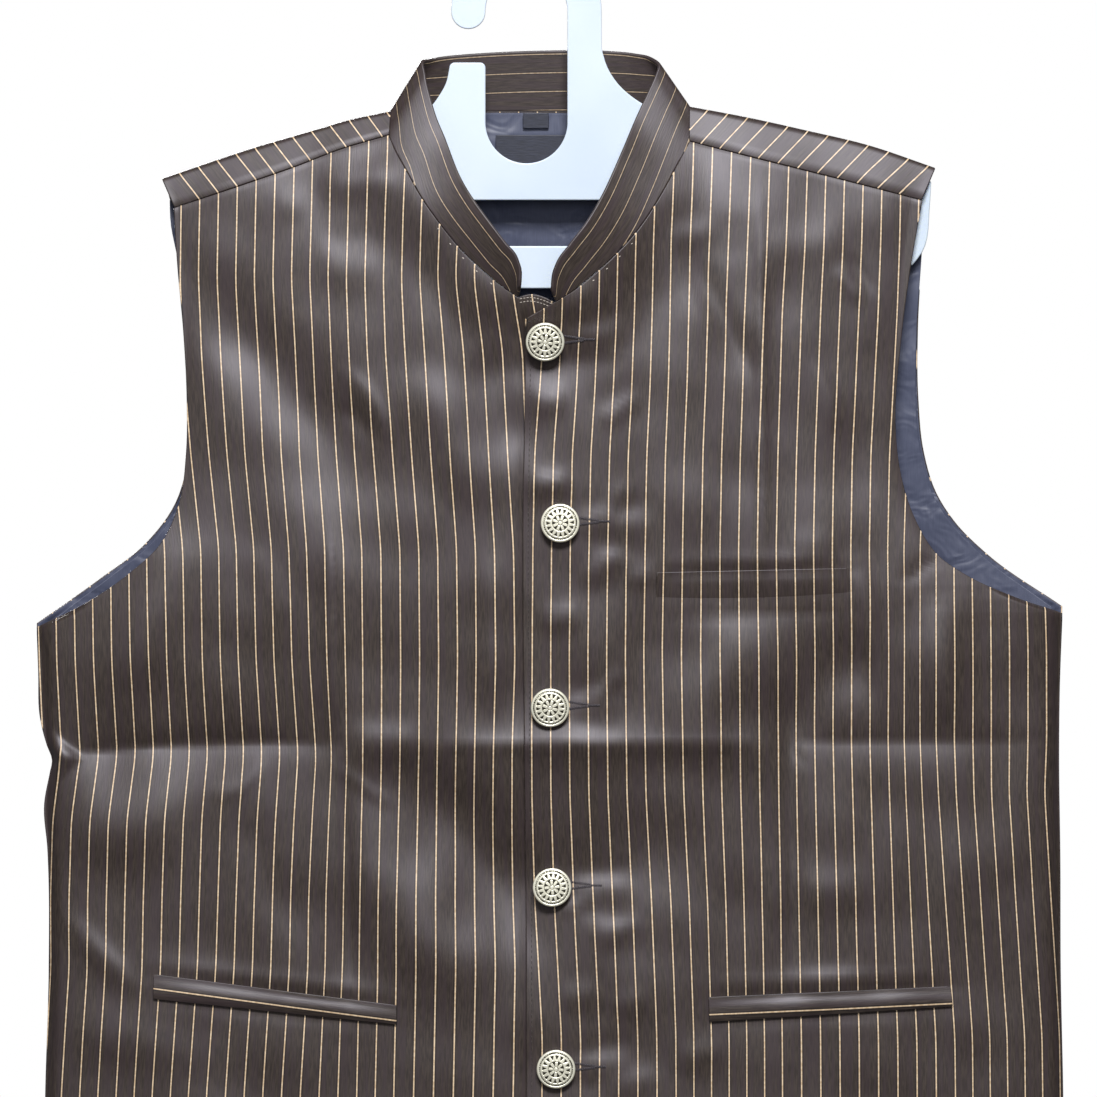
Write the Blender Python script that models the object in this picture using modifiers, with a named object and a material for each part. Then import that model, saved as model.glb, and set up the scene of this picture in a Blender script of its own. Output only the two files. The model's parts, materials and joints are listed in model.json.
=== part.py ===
"""A sleeveless nehru jacket, buttoned, hanging flat on a plastic hanger.

Frame: +X is the viewer's right, the fronts face -Y and +Z is up. The origin is the point where the
hanger's hook bears on its rail. The tables hold millimetres: "across" is X, "down" is the drop below
the rail (minus Z) and "depth" is the distance of the cloth from the hanger's plane.
"""

from collections import namedtuple
from math import cos, pi, radians, sin

import bmesh
import bpy
import numpy as np
from mathutils import Matrix, Vector

MM = 0.001  # one millimetre in Blender's metres
GAP = 0.3  # clearance left at every seam

# Cloth, as the thickness of the finished wall
SUITING = 1.5
LINING = 1.0
BAND = 2.2
WELT = 1.2
LABEL = 1.0

# Driving heights below the rail
NECK_BASE = 184.8
CLOSURE_MIDDLE = 365.0  # where both fronts have a row at their closure, about level with the armholes' base
HEM = 779.0
HEM_DIP = 4.0
LINING_HEM = 12.0  # the lining ends this far above the hem

# Front closure
OVERLAP = 27.7
LAP_GAP = 0.9  # between the lapped front and the one under it, which only touch at the buttons
LAP_EASE = (4.0, 40.0)  # the lapped front comes back to the garment's form over this stretch past the underlap
LAP_TOP_DROP = (8.0, 4.5, 0.4)  # the underlap's top edge slopes off behind the other front's collar
BUTTON_DIAMETER = 21.6
BUTTON_THICKNESS = 4.2
BUTTON_STAND = 0.45  # between the cloth and the back of a button's rim
SHANK_DIAMETER = 3.6
SHANK_SLOT = (6.8, 9.0, 5.6)  # the hole's width, the depth that its cutter reaches and its height

# Hanger
BOARD = 3.0
HOOK_BORE = 23.0
HOOK_WIDTH = 19.3
HOOK_CENTRE_DOWN = 23.0
THROAT_BASE_DOWN = 85.1
LUG_TOP_DOWN = 51.5
LUG_CORNER = 3.0
BOARD_CLEAR = 2.95  # between the shoulder's fold and the board's top edge
SLOT_HALF = 104.0  # the board's long slot: half its straight run, and its top and bottom
SLOT_TOP_DOWN = 128.8
SLOT_BASE_DOWN = 154.6

# Shoulders
TURN_DROP = 13.0  # height over which the back turns forward to the shoulder fold
STRIP_GAP = 0.5  # down the panel, between the shoulder strip's edge and the front's
STRIP_TURN = 0.2  # share of the strip's width that the tight turn at the fold takes
STRIP_SLOPE = 0.5  # share of the seam's depth that the rest of its width gains

# Mesh density
ROWS_NECK = 9
ROWS_UPPER = 9  # from the neck's base to the armholes' base
ROWS_CHEST = 15  # of the back
ROWS_BODY = 17
PANEL_COLUMNS = 11
LEAST_LAP_SHARE = 0.05  # of the left front's width, for the columns that match the underlap's behind it
ROLL_SHARES = (0.955, 0.985, 1.0)  # the last columns of a front, where the side rolls under
BACK_SHOULDER_COLUMNS = 7
BACK_NECK_COLUMNS = 8
LAP_COLUMNS = 3
WRAP_STEPS = 4
BAND_COLUMNS = 54
BAND_ROWS = 3
WELT_COLUMNS = 8
WELT_ROWS = 2
SHOULDER_CELLS = BACK_SHOULDER_COLUMNS + 2
NECK_CELLS = slice(SHOULDER_CELLS, SHOULDER_CELLS + BACK_NECK_COLUMNS)

At = namedtuple("At", "across down")

# The wearer's right front is on the viewer's left.
SHOULDER_FOLD = {
    "right": [At(-204.0, 117.2), At(-153.6, 100.2), At(-121.1, 90.7), At(-99.3, 84.3), At(-76.8, 79.6)],
    "left": [At(229.0, 111.2), At(191.9, 98.6), At(156.6, 90.2), At(123.6, 82.9), At(92.0, 77.0)],
}
SHOULDER_SEAM = {
    "right": [At(-197.3, 133.8), At(-163.1, 122.6), At(-131.2, 111.6), At(-104.0, 101.2), At(-77.4, 93.4)],
    "left": [At(221.6, 129.6), At(176.8, 118.2), At(131.4, 107.0), At(91.8, 96.8)],
}
NECK = {
    "right": [At(-77.4, 93.4), At(-74.6, 100.4), At(-67.4, 113.7), At(-59.0, 128.8), At(-47.8, 144.6),
              At(-37.4, 157.4), At(-25.2, 169.4), At(-12.9, 179.4), At(-4.6, 184.8)],
    "left": [At(91.8, 96.8), At(85.0, 109.8), At(74.9, 128.4), At(61.4, 148.4), At(49.7, 161.2),
             At(37.4, 172.5), At(26.0, 181.6), At(16.6, 187.2)],
}
ARMHOLE = {
    "right": [At(-197.3, 133.8), At(-195.6, 161.8), At(-191.7, 206.0), At(-190.0, 239.1), At(-190.3, 270.5),
              At(-194.5, 300.4), At(-204.3, 321.9), At(-221.9, 338.6), At(-246.5, 355.4), At(-274.6, 369.0)],
    "left": [At(221.6, 129.6), At(214.9, 167.4), At(209.8, 206.1), At(206.5, 256.7), At(208.6, 278.6),
             At(216.2, 305.5), At(229.4, 327.7), At(247.4, 340.5), At(269.0, 350.4), At(300.6, 361.2)],
}
BACK_ARMHOLE = {
    "right": [At(-199.6, 130.2), At(-199.2, 142.4), At(-195.8, 162.0), At(-191.0, 206.0), At(-189.0, 245.0),
              At(-189.8, 272.0), At(-197.2, 299.2), At(-214.7, 322.7), At(-238.9, 341.4), At(-274.6, 366.8)],
    "left": [At(224.0, 124.6), At(222.6, 140.0), At(221.4, 166.0), At(219.7, 200.3), At(219.9, 239.1),
             At(223.2, 270.9), At(229.8, 292.6), At(240.5, 309.6), At(258.2, 327.4), At(300.6, 357.3)],
}
SIDE = {
    "right": [At(-274.6, 369.0), At(-273.7, 394.2), At(-272.8, 419.0), At(-269.0, 434.6), At(-265.9, 443.6),
              At(-267.2, 450.4), At(-270.4, 468.5),
              At(-268.6, 492.6), At(-267.8, 559.4), At(-269.8, 631.7), At(-270.6, 706.0), At(-269.5, HEM)],
    "left": [At(300.6, 361.2), At(299.1, 402.1), At(298.7, 437.4), At(299.4, 500.6), At(299.6, 560.4),
             At(301.0, 631.7), At(301.4, 706.0), At(300.0, HEM)],
}
FRONT_EDGE = {
    "right": [At(-4.6, NECK_BASE), At(-0.9, 241.4), At(-1.4, 310.0), At(-0.9, 409.4), At(0.2, 521.4), At(0.4, HEM)],
    "left": [At(-0.1, 196.4), At(-0.3, 241.4), At(-1.3, 306.0), At(-0.7, 409.4), At(0.4, 521.4), At(0.4, HEM)],
}

# Depth of the wall's middle at the centre and at the outer edge of the fronts and of the back.
Section = namedtuple("Section", "down front front_edge back back_edge side_roll")
SECTIONS = [
    Section(76.0, 6.5, 4.5, 17.5, 6.0, 0.0),
    Section(92.0, 8.5, 4.8, 19.0, 6.2, 0.0),
    Section(112.0, 14.5, 5.4, 20.5, 6.7, 0.0),
    Section(145.0, 21.0, 7.4, 22.0, 7.2, 0.0),
    Section(187.0, 27.5, 9.4, 23.5, 8.0, 0.0),
    Section(250.0, 31.5, 10.0, 24.5, 8.4, 0.0),
    Section(310.0, 33.0, 8.0, 25.0, 7.2, 0.0),
    Section(340.0, 33.0, 4.6, 25.0, 4.4, 0.08),
    Section(369.0, 32.5, 1.0, 24.5, 1.0, 0.20),
    Section(437.0, 29.5, 0.95, 22.0, 0.95, 0.22),
    Section(520.0, 29.5, 0.95, 21.5, 0.95, 0.22),
    Section(640.0, 27.5, 0.95, 20.0, 0.95, 0.22),
    Section(HEM + HEM_DIP, 24.5, 0.95, 18.5, 0.95, 0.22),
]
SIDE_EDGE = 0.95  # least depth, where a front and the back meet at the side seam
CENTRE = 8.0  # the front closure's middle, across
BULGE = 2.3  # how flat the middle of a section is: a higher power is flatter
ROLL_POWER = 40  # how tight the roll at the side seam is
FORM_AHEAD = 64.0  # how far below a height the form looks for its outer edge
FULL_REACH = 200.0  # folds reach their full height where the panel is at least this wide
NECK_DEPTH = 18.5  # of the back neck seam at the centre back
NECK_ROUNDNESS = 2.6  # 2 is an ellipse, and more is squarer

# Folds pressed into the cloth. A rise stands out of the garment, a negative one sinks in.
Fold = namedtuple("Fold", "across down to_across to_down half_width rise bow")
FRONT_FOLDS = [
    Fold(-74.1, 101.4, -6.3, 195.4, 22.4, 9.0, 0.0),
    Fold(81.6, 107.0, 14.4, 195.4, 23.5, 9.0, 0.0),
    Fold(-179.9, 175.8, -92.0, 282.8, 20.2, -3.0, 0.0),
    Fold(-190.6, 225.7, -124.5, 308.6, 19.0, 3.6, 0.0),
    Fold(-116.6, 121.5, -73.5, 117.0, 10.1, 3.2, 0.0),
    Fold(-56.7, 222.3, -27.0, 301.8, 14.6, 2.8, 0.0),
    Fold(-195.0, 319.8, -232.0, 415.0, 16.8, 4.5, 0.0),
    Fold(228.9, 353.4, 236.2, 421.7, 13.4, 4.0, 0.0),
    Fold(137.6, 357.8, 79.4, 432.9, 19.0, 5.5, 0.0),
    Fold(191.4, 375.8, 137.6, 432.9, 17.9, -4.0, 0.0),
    Fold(-272.3, 441.3, -101.0, 434.0, 16.8, -4.6, 3.4),
    Fold(-102.1, 432.9, -57.3, 434.0, 11.2, 3.6, 0.0),
    Fold(-59.5, 434.6, 139.8, 433.4, 19.0, 8.0, 0.0),
    Fold(139.8, 432.3, 294.4, 432.9, 13.4, -4.4, 0.0),
    Fold(-270.1, 485.5, -188.3, 472.1, 20.2, 6.0, 0.0),
    Fold(-68.5, 444.1, 14.4, 559.4, 23.5, -6.0, 2.2),
    Fold(-109.9, 468.7, -33.8, 577.4, 22.4, 5.2, 0.0),
    Fold(-31.5, 503.4, 97.3, 497.8, 24.6, -4.0, 0.0),
    Fold(-210.0, 630.0, -90.0, 770.0, 24.0, 4.0, 10.0),
    Fold(60.0, 640.0, 190.0, 765.0, 24.0, 3.8, -10.0),
]
BACK_FOLDS = [
    Fold(-150.0, 170.0, -40.0, 330.0, 22.0, 3.2, 8.0),
    Fold(176.0, 160.0, 70.0, 340.0, 24.0, 3.0, -8.0),
    Fold(-262.0, 440.0, 292.0, 434.0, 10.0, -2.2, 0.0),
    Fold(-210.0, 470.0, -70.0, 640.0, 24.0, 3.4, 10.0),
    Fold(220.0, 468.0, 96.0, 620.0, 22.0, 3.0, -9.0),
    Fold(10.0, 470.0, 24.0, 700.0, 20.0, 2.4, 5.0),
    Fold(-60.0, 110.0, 70.0, 112.0, 14.0, -1.6, 0.0),
    Fold(150.0, 640.0, 214.0, 770.0, 20.0, 2.4, 0.0),
]

# The collar's free edge, paired with stations along the neck seam from the wearer's right front to the left.
Band = namedtuple("Band", "run seam_across seam_down free_across free_down free_depth")
COLLAR = [
    Band("right", -5.2, 184.4, -3.8, 177.6, -37.0),
    Band("right", -8.2, 182.4, -3.4, 170.6, -37.0),
    Band("right", -12.9, 179.4, -5.0, 164.0, -37.0),
    Band("right", -25.2, 169.4, -12.4, 153.8, -36.5),
    Band("right", -37.4, 157.4, -21.6, 141.6, -34.5),
    Band("right", -47.8, 144.6, -30.2, 129.6, -31.0),
    Band("right", -59.0, 128.8, -38.6, 114.8, -24.0),
    Band("right", -67.4, 113.7, -46.2, 95.0, -14.5),
    Band("right", -74.6, 100.4, -52.6, 78.6, -9.0),
    Band("turn", -77.4, 93.4, -56.2, 65.4, -5.4),
    Band("turn", -77.0, 84.2, -57.6, 57.4, -2.6),
    Band("back", -76.9, 79.4, -58.6, 51.8, 0.6),
    Band("back", -70.5, 78.9, -54.6, 50.0, 7.4),
    Band("back", -56.0, 78.5, -45.8, 48.2, 12.0),
    Band("back", -34.0, 78.2, -29.0, 46.6, 14.6),
    Band("back", 8.0, 78.0, 8.0, 44.9, 15.8),
    Band("back", 48.0, 77.9, 43.6, 45.0, 14.6),
    Band("back", 71.0, 77.6, 60.6, 46.6, 12.0),
    Band("back", 86.6, 77.2, 70.2, 49.2, 7.0),
    Band("back", 92.4, 77.0, 74.6, 53.2, 0.6),
    Band("turn", 92.0, 84.0, 73.2, 58.6, -2.6),
    Band("turn", 91.8, 96.8, 69.6, 67.0, -5.4),
    Band("left", 85.0, 109.8, 62.0, 83.6, -11.0),
    Band("left", 74.9, 128.4, 53.2, 104.6, -22.0),
    Band("left", 61.4, 148.4, 42.6, 128.0, -31.0),
    Band("left", 49.7, 161.2, 33.8, 143.0, -36.0),
    Band("left", 37.4, 172.5, 24.4, 155.4, -39.0),
    Band("left", 26.0, 181.6, 17.0, 166.4, -40.5),
    Band("left", 21.0, 184.9, 15.0, 173.0, -40.5),
    Band("left", 17.4, 187.0, 14.6, 180.2, -40.5),
]
SEAM_SETBACK = 1.4  # the band starts this far up from the neck seam and this far inside it, so that the two
SEAM_INSET = 0.9  # walls clear each other at their angle
SEAM_EASE = 0.6  # share by which both are less at the centre back, where the band rises straight from the wall
SEAM_SMOOTHING = 3  # columns of the band over which its seam's depth is evened out
NECK_AXIS = np.array([8.0, -4.0, -110.0])

Welt = namedtuple("Welt", "name panel top_start top_end bottom_end bottom_start gape")
WELTS = [
    Welt("chest_welt", "left", At(73.2, 338.2), At(180.2, 335.8), At(180.7, 357.8), At(72.6, 360.6), 0.0),
    Welt("lower_welt_right", "right", At(-208.5, 563.4), At(-73.0, 580.2), At(-73.0, 590.2), At(-208.5, 576.4), 0.6),
    Welt("lower_welt_left", "left", At(102.3, 575.7), At(237.3, 570.1), At(238.4, 580.6), At(102.9, 588.8), 0.4),
]

WELT_CLEAR = 0.35  # over the seam's gap, for the panel's bend between a welt's columns

Button = namedtuple("Button", "across down tip")
BUTTONS = [
    Button(10.5, 208.9, 8.0),
    Button(18.9, 310.5, -4.0),
    Button(13.3, 413.3, 3.0),
    Button(14.4, 514.1, -3.0),
    Button(16.6, 615.4, 2.0),
]

# The board's outline where it isn't round, from the viewer's left to the right
LUG_SHOULDER = [At(-43.3, 54.5), At(-45.2, 63.0), At(-49.0, 70.0), At(-54.4, 77.0), At(-61.0, 82.0), At(-68.0, 85.4)]
LOWER_EDGE = [At(-196.2, 128.0), At(-193.6, 150.0), At(-189.4, 161.0), At(-180.0, 167.0), At(-140.0, 172.4),
              At(-70.0, 176.6), At(8.0, 178.4), At(86.0, 176.2), At(160.0, 171.4), At(207.0, 167.6),
              At(217.0, 165.2), At(222.4, 158.0), At(226.6, 132.0), At(227.4, 119.0)]
STEM_SHOULDER = [At(86.0, 83.6), At(74.0, 79.0), At(62.0, 72.6), At(51.4, 63.4), At(45.4, 54.0), At(42.3, 44.0)]

# Dome of the button: radius and height over its back, as shares of its size, from the rim to the middle
DOME = [(0.90, 0.0), (1.0, 0.16), (1.0, 0.36), (0.93, 0.54), (0.70, 0.78), (0.40, 0.94), (0.0, 1.0)]
BUTTON_SIDES = 20
RIM_STATIONS = 12  # where the cloth's height under a button's rim is read

SIZE_TAG = (At(-1.6, 79.6), At(12.2, 87.6))
NECK_LABEL = (At(-17.0, 92.0), At(31.0, 114.0))
LABEL_REACH = 25.0  # a label clears the lining's highest point within this distance

COLOURS = {
    "suiting": ((0.060, 0.046, 0.040), 0.55, 0.0),
    "lining": ((0.012, 0.014, 0.022), 0.35, 0.0),
    "metal": ((0.56, 0.50, 0.38), 0.32, 1.0),
    "label": ((0.010, 0.010, 0.012), 0.60, 0.0),
    "plastic": ((0.62, 0.74, 0.90), 0.30, 0.0),
}


# ---------------------------------------------------------------- curves and tables

def through(stations, values, at):
    """A smooth curve through a table's rows, so that no row shows as a kink."""
    stations, values = np.asarray(stations, float), np.asarray(values, float)
    slopes = np.gradient(values, stations)
    at = np.clip(at, stations[0], stations[-1])
    row = np.clip(np.searchsorted(stations, at, side="right") - 1, 0, len(stations) - 2)
    span = stations[row + 1] - stations[row]
    t = (at - stations[row]) / span
    return (values[row] * (1 + 2 * t) * (1 - t) ** 2 + slopes[row] * span * t * (1 - t) ** 2
            + values[row + 1] * t * t * (3 - 2 * t) + slopes[row + 1] * span * t * t * (t - 1))


def along(points, shares):
    """Points at the given shares of an outline's length."""
    points = np.asarray(points, float)
    steps = np.linalg.norm(np.diff(points, axis=0), axis=1)
    length = np.concatenate([[0.0], np.cumsum(steps)])
    at = np.asarray(shares) * length[-1]
    return np.stack([through(length, points[:, axis], at) for axis in range(points.shape[1])], axis=1)


def joined(*runs):
    """Outline points of several curves, where each curve starts at the last one's end; the corners stay sharp."""
    pieces = [along(points, np.linspace(0.0, 1.0, count + 1)) for points, count in runs]
    return np.concatenate([pieces[0]] + [piece[1:] for piece in pieces[1:]])


def section(column, down):
    """One column of SECTIONS at a height."""
    rows = [row.down for row in SECTIONS]
    return through(rows, [getattr(row, column) for row in SECTIONS], down)


def fold_rise(folds, across, down):
    """Height that the folds add: each is a soft ridge or trough that dies away at its sides and its ends."""
    total = np.zeros_like(across)
    for fold in folds:
        start = np.array([fold.across, fold.down])
        run = np.array([fold.to_across, fold.to_down]) - start
        length = np.linalg.norm(run)
        run = run / length
        x, y = across - start[0], down - start[1]
        t = 2 * (x * run[0] + y * run[1]) / length - 1
        side = x * run[1] - y * run[0] - fold.bow * (1 - t * t)
        total = total + fold.rise * np.exp(-((side / fold.half_width) ** 2) - 1.5 * t ** 4)
    return total


# ---------------------------------------------------------------- the garment's form

def outer_edge(hand, wall, down):
    """Across position of the garment's outer edge at a height: the side seam, and the armhole over it."""
    armhole = (ARMHOLE if wall == "front" else BACK_ARMHOLE)[hand]
    above = through([row.down for row in armhole], [row.across for row in armhole], down)
    below = through([row.down for row in SIDE[hand]], [row.across for row in SIDE[hand]], down)
    return np.where(down < armhole[-1].down, above, below)


def form_edge(hand, wall, down):
    """Outer edge that the garment's form follows: it runs ahead of the armhole, so that no step forms at its base."""
    return np.mean([outer_edge(hand, wall, down + ahead) for ahead in np.linspace(0.0, FORM_AHEAD, 9)], axis=0)


def section_shape(share, roll):
    """1 at the closure and 0 at the outer edge: a flat dome, plus a tight roll at the side seam."""
    return (1 - roll) * (1 - share ** BULGE) + roll * np.sqrt(1 - share ** ROLL_POWER)


def depth(wall, across, down):
    """Distance of the front's or the back's wall from the hanger's plane."""
    right, left = form_edge("right", wall, down), form_edge("left", wall, down)
    reach = np.where(across < CENTRE, CENTRE - right, left - CENTRE)
    share = np.clip(np.abs(across - CENTRE) / reach, 0.0, 1.0)
    shape = section_shape(share, section("side_roll", down))
    edge = np.maximum(section(wall + "_edge", down), SIDE_EDGE)
    folds = fold_rise(FRONT_FOLDS if wall == "front" else BACK_FOLDS, across, down)
    inside = (1 - share ** 8) * np.clip(reach / FULL_REACH, 0.0, 1.0)
    return edge + (section(wall, down) - edge) * shape + folds * inside


def lap(across):
    """How far the left front stands off the right one: one wall and a gap, easing down past the underlap."""
    ease = np.clip((across - OVERLAP - LAP_EASE[0]) / LAP_EASE[1], 0.0, 1.0)
    return (SUITING + LAP_GAP) * (1 - ease * ease * (3 - 2 * ease))


def strip_rise(share):
    """Share of the seam's depth that a shoulder strip has gained at a share of its width from the fold."""
    turned = np.clip(share / STRIP_TURN, 0.0, 1.0)
    return (1 - STRIP_SLOPE) * np.sqrt(1 - (1 - turned) ** 2) + STRIP_SLOPE * share


def front_depth(hand, across, down):
    """Depth of a front panel, with the left one lapped over the right one."""
    across, down = np.asarray(across, float), np.asarray(down, float)
    base = depth("front", across, down)
    return base + lap(across) if hand == "left" else base


def to_points(plan, distance):
    """Grid points in the object's frame: plan holds across and down, and distance is towards +Y."""
    return np.stack([plan[..., 0], distance, -plan[..., 1]], axis=-1)


def column_shares(hand, lapped):
    """Shares across a panel, closer together at the outer edge, where the side rolls under."""
    if hand == "right":
        return np.concatenate([np.linspace(0.0, ROLL_SHARES[0], PANEL_COLUMNS + 1)[:-1], ROLL_SHARES])
    return np.concatenate([np.linspace(0.0, lapped, LAP_COLUMNS + 1)[:-1],
                           np.linspace(lapped, ROLL_SHARES[0], PANEL_COLUMNS + 1)[:-1], ROLL_SHARES])


def closure_rows(hand):
    """A front's inner edge below the neck: both fronts have rows at the same heights, so that one clears the other."""
    down = np.concatenate([np.linspace(FRONT_EDGE["left"][0].down, CLOSURE_MIDDLE, ROWS_UPPER),
                           np.linspace(CLOSURE_MIDDLE, HEM, ROWS_BODY + 1)[1:]])
    edge = FRONT_EDGE[hand]
    return np.stack([through([row.down for row in edge], [row.across for row in edge], down), down], axis=-1)


def front_plan(hand):
    """Across and down of a front panel's grid, from the shoulder seam (row 0) to the hem."""
    chest_rows = ROWS_NECK + ROWS_UPPER
    inner = np.concatenate([joined((NECK[hand], ROWS_NECK)), closure_rows(hand)])
    outer = joined((ARMHOLE[hand], chest_rows), (SIDE[hand], ROWS_BODY))
    lapped = np.clip((OVERLAP - inner[:, 0]) / (outer[:, 0] - inner[:, 0]), LEAST_LAP_SHARE, 1.0)
    share, rows = np.array([column_shares(hand, value) for value in lapped]), np.arange(len(inner))
    plan = (1 - share[..., None]) * inner[:, None] + share[..., None] * outer[:, None]
    # The shoulder seam's own bends fade away towards the armhole's base, and the hem dips towards its middle.
    seam = along(SHOULDER_SEAM[hand][::-1], share[0])
    straight = (1 - share[0][:, None]) * seam[:1] + share[0][:, None] * seam[-1:]
    plan += (np.clip(1 - rows / chest_rows, 0.0, 1.0) ** 1.5)[:, None, None] * (seam - straight)
    fall = np.clip((rows - chest_rows) / ROWS_BODY, 0.0, 1.0)
    plan[..., 1] += fall[:, None] * HEM_DIP * (1 - share ** 2)
    return plan


def front_points(hand):
    """Mid-surface of a front, and which of its cells are cloth."""
    plan = front_plan(hand)
    keep = np.ones((plan.shape[0] - 1, plan.shape[1] - 1), bool)
    if hand == "right":
        strip = np.repeat(plan[:, :1], LAP_COLUMNS, axis=1)
        for column in range(LAP_COLUMNS):
            reach = (OVERLAP - plan[:, 0, 0]) * (LAP_COLUMNS - column) / LAP_COLUMNS
            strip[:, column, 0] = plan[:, 0, 0] + reach
            strip[ROWS_NECK, column, 1] += LAP_TOP_DROP[column]
        plan = np.concatenate([strip, plan], axis=1)
        keep = np.concatenate([np.zeros((keep.shape[0], LAP_COLUMNS), bool), keep], axis=1)
        keep[ROWS_NECK:, :LAP_COLUMNS] = True
    distance = -front_depth(hand, plan[..., 0], plan[..., 1])
    return to_points(plan, distance), keep


def neck_depth(across):
    """Depth of the back neck seam: 0 at the shoulder folds and full at the centre back."""
    right, left = SHOULDER_FOLD["right"][-1].across, SHOULDER_FOLD["left"][-1].across
    middle = 0.5 * (right + left)
    share = np.clip(np.abs(across - middle) / (0.5 * (left - right)), 0.0, 1.0)
    return NECK_DEPTH * np.sqrt(np.clip(1 - share ** NECK_ROUNDNESS, 0.0, 1.0))


def denser(rows):
    """The same outline or grid with two more columns in its outermost cell at each side, where the wall rolls."""
    cells = rows.shape[-2] - 1
    at = np.concatenate([[0.0, 0.2, 0.55], np.arange(1, cells), [cells - 0.55, cells - 0.2, cells]])
    low = np.clip(np.floor(at).astype(int), 0, cells - 1)
    share = (at - low)[:, None]
    return rows[..., low, :] * (1 - share) + rows[..., low + 1, :] * share


def back_plan():
    """Across and down of the back's grid from the shoulders' turn (row 0) to the hem, and the fold over it."""
    fold_right, fold_left = SHOULDER_FOLD["right"], SHOULDER_FOLD["left"]
    neckline = [fold_right[-1], At(-40.0, 78.8), At(8.0, 78.6), At(54.0, 78.4), fold_left[-1]]
    shoulder = np.linspace(0.0, 1.0, BACK_SHOULDER_COLUMNS + 1)
    turned = 0.5 - 0.5 * np.cos(np.linspace(0.0, pi, BACK_NECK_COLUMNS + 1))  # closer at the neck's tight corners
    fold = np.concatenate([along(fold_right, shoulder), along(neckline, turned)[1:-1],
                           along(fold_left[::-1], shoulder)])
    turn = fold + np.array([0.0, TURN_DROP])
    right = joined((BACK_ARMHOLE["right"], ROWS_CHEST), (SIDE["right"], ROWS_BODY))
    left = joined((BACK_ARMHOLE["left"], ROWS_CHEST), (SIDE["left"], ROWS_BODY))
    turn[0], turn[-1] = right[0], left[0]
    columns, rows = len(turn), len(right)
    share = np.linspace(0.0, 1.0, columns)
    # Columns start where the shoulders set them and spread out evenly by the armhole's base.
    top_share = (turn[:, 0] - turn[0, 0]) / (turn[-1, 0] - turn[0, 0])
    even = np.clip(np.arange(rows) / ROWS_CHEST, 0.0, 1.0)[:, None]
    spread = (1 - even) * top_share + even * share
    plan = (1 - spread[..., None]) * right[:, None] + spread[..., None] * left[:, None]
    blend = np.clip(1 - np.arange(rows) / ROWS_CHEST, 0.0, 1.0) ** 1.5
    bend = turn[:, 1] - ((1 - top_share) * turn[0, 1] + top_share * turn[-1, 1])
    plan[..., 1] += blend[:, None] * bend
    fall = np.clip((np.arange(rows) - ROWS_CHEST) / ROWS_BODY, 0.0, 1.0)
    plan[..., 1] += fall[:, None] * HEM_DIP * (1 - (2 * share - 1) ** 2)
    return denser(plan), denser(fold)


def back_points():
    """Mid-surface of the back with its shoulders turned over to the front seams, and its cloth cells."""
    body_plan, fold = back_plan()
    body = to_points(body_plan, depth("back", body_plan[..., 0], body_plan[..., 1]))
    first = body[0]
    columns = len(fold)
    crest = np.zeros(columns)
    crest[SHOULDER_CELLS:-SHOULDER_CELLS] = neck_depth(fold[SHOULDER_CELLS:-SHOULDER_CELLS, 0])
    turn = []
    for step in range(WRAP_STEPS, 0, -1):
        angle = 0.5 * pi * step / WRAP_STEPS
        across = first[:, 0] + (fold[:, 0] - first[:, 0]) * step / WRAP_STEPS
        down = fold[:, 1] + (-first[:, 2] - fold[:, 1]) * (1 - sin(angle))
        turn.append(to_points(np.stack([across, down], axis=-1), crest + (first[:, 1] - crest) * cos(angle)))
    shares = np.linspace(0.0, 1.0, BACK_SHOULDER_COLUMNS + 1)
    seam_right, seam_left = along(SHOULDER_SEAM["right"], shares), along(SHOULDER_SEAM["left"][::-1], shares)
    between = np.repeat(seam_right[-1:], BACK_NECK_COLUMNS - 1, axis=0)
    seam = denser(np.concatenate([seam_right, between, seam_left]))
    seam_depth = np.where(seam[:, 0] < CENTRE, front_depth("right", *seam.T), front_depth("left", *seam.T))
    over = []
    for step in range(WRAP_STEPS, 0, -1):
        share = 1 - cos(0.5 * pi * step / WRAP_STEPS)
        plan = fold + (seam - [0.0, STRIP_GAP] - fold) * share
        over.append(to_points(plan, -seam_depth * strip_rise(share)))
    points = np.concatenate([np.array(over), np.array(turn), body])
    keep = np.ones((points.shape[0] - 1, columns - 1), bool)
    keep[:WRAP_STEPS, NECK_CELLS] = False
    return points, keep


def normals(points):
    """Unit normals of a grid, towards its back for a panel that faces -Y."""
    down, across = np.gradient(points, axis=0), np.gradient(points, axis=1)
    normal = np.cross(down, across)
    return normal / np.maximum(np.linalg.norm(normal, axis=-1, keepdims=True), 1e-9)


def lining_points():
    """The back's lining: inside the back wall, short of the side seams and stopped below the shoulder folds."""
    points, keep = back_points()
    points, keep = points[WRAP_STEPS + 1:], keep[WRAP_STEPS + 1:]
    facing = normals(points)
    facing *= np.sign(facing[..., 1:2] + 1e-9)
    lined = points - facing * (0.5 * SUITING + GAP + 0.5 * LINING)
    # Each side stops at the first column inside the roll, and at the armhole just inside the edge.
    lined, keep = lined[:, 1:-1], keep[:, 1:-1]
    lined[-1, :, 2] += LINING_HEM
    under_fold = WRAP_STEPS - 1
    keep[:under_fold, :SHOULDER_CELLS - 1] = False
    keep[:under_fold, SHOULDER_CELLS - 1 + BACK_NECK_COLUMNS:] = False
    return lined, keep


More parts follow.
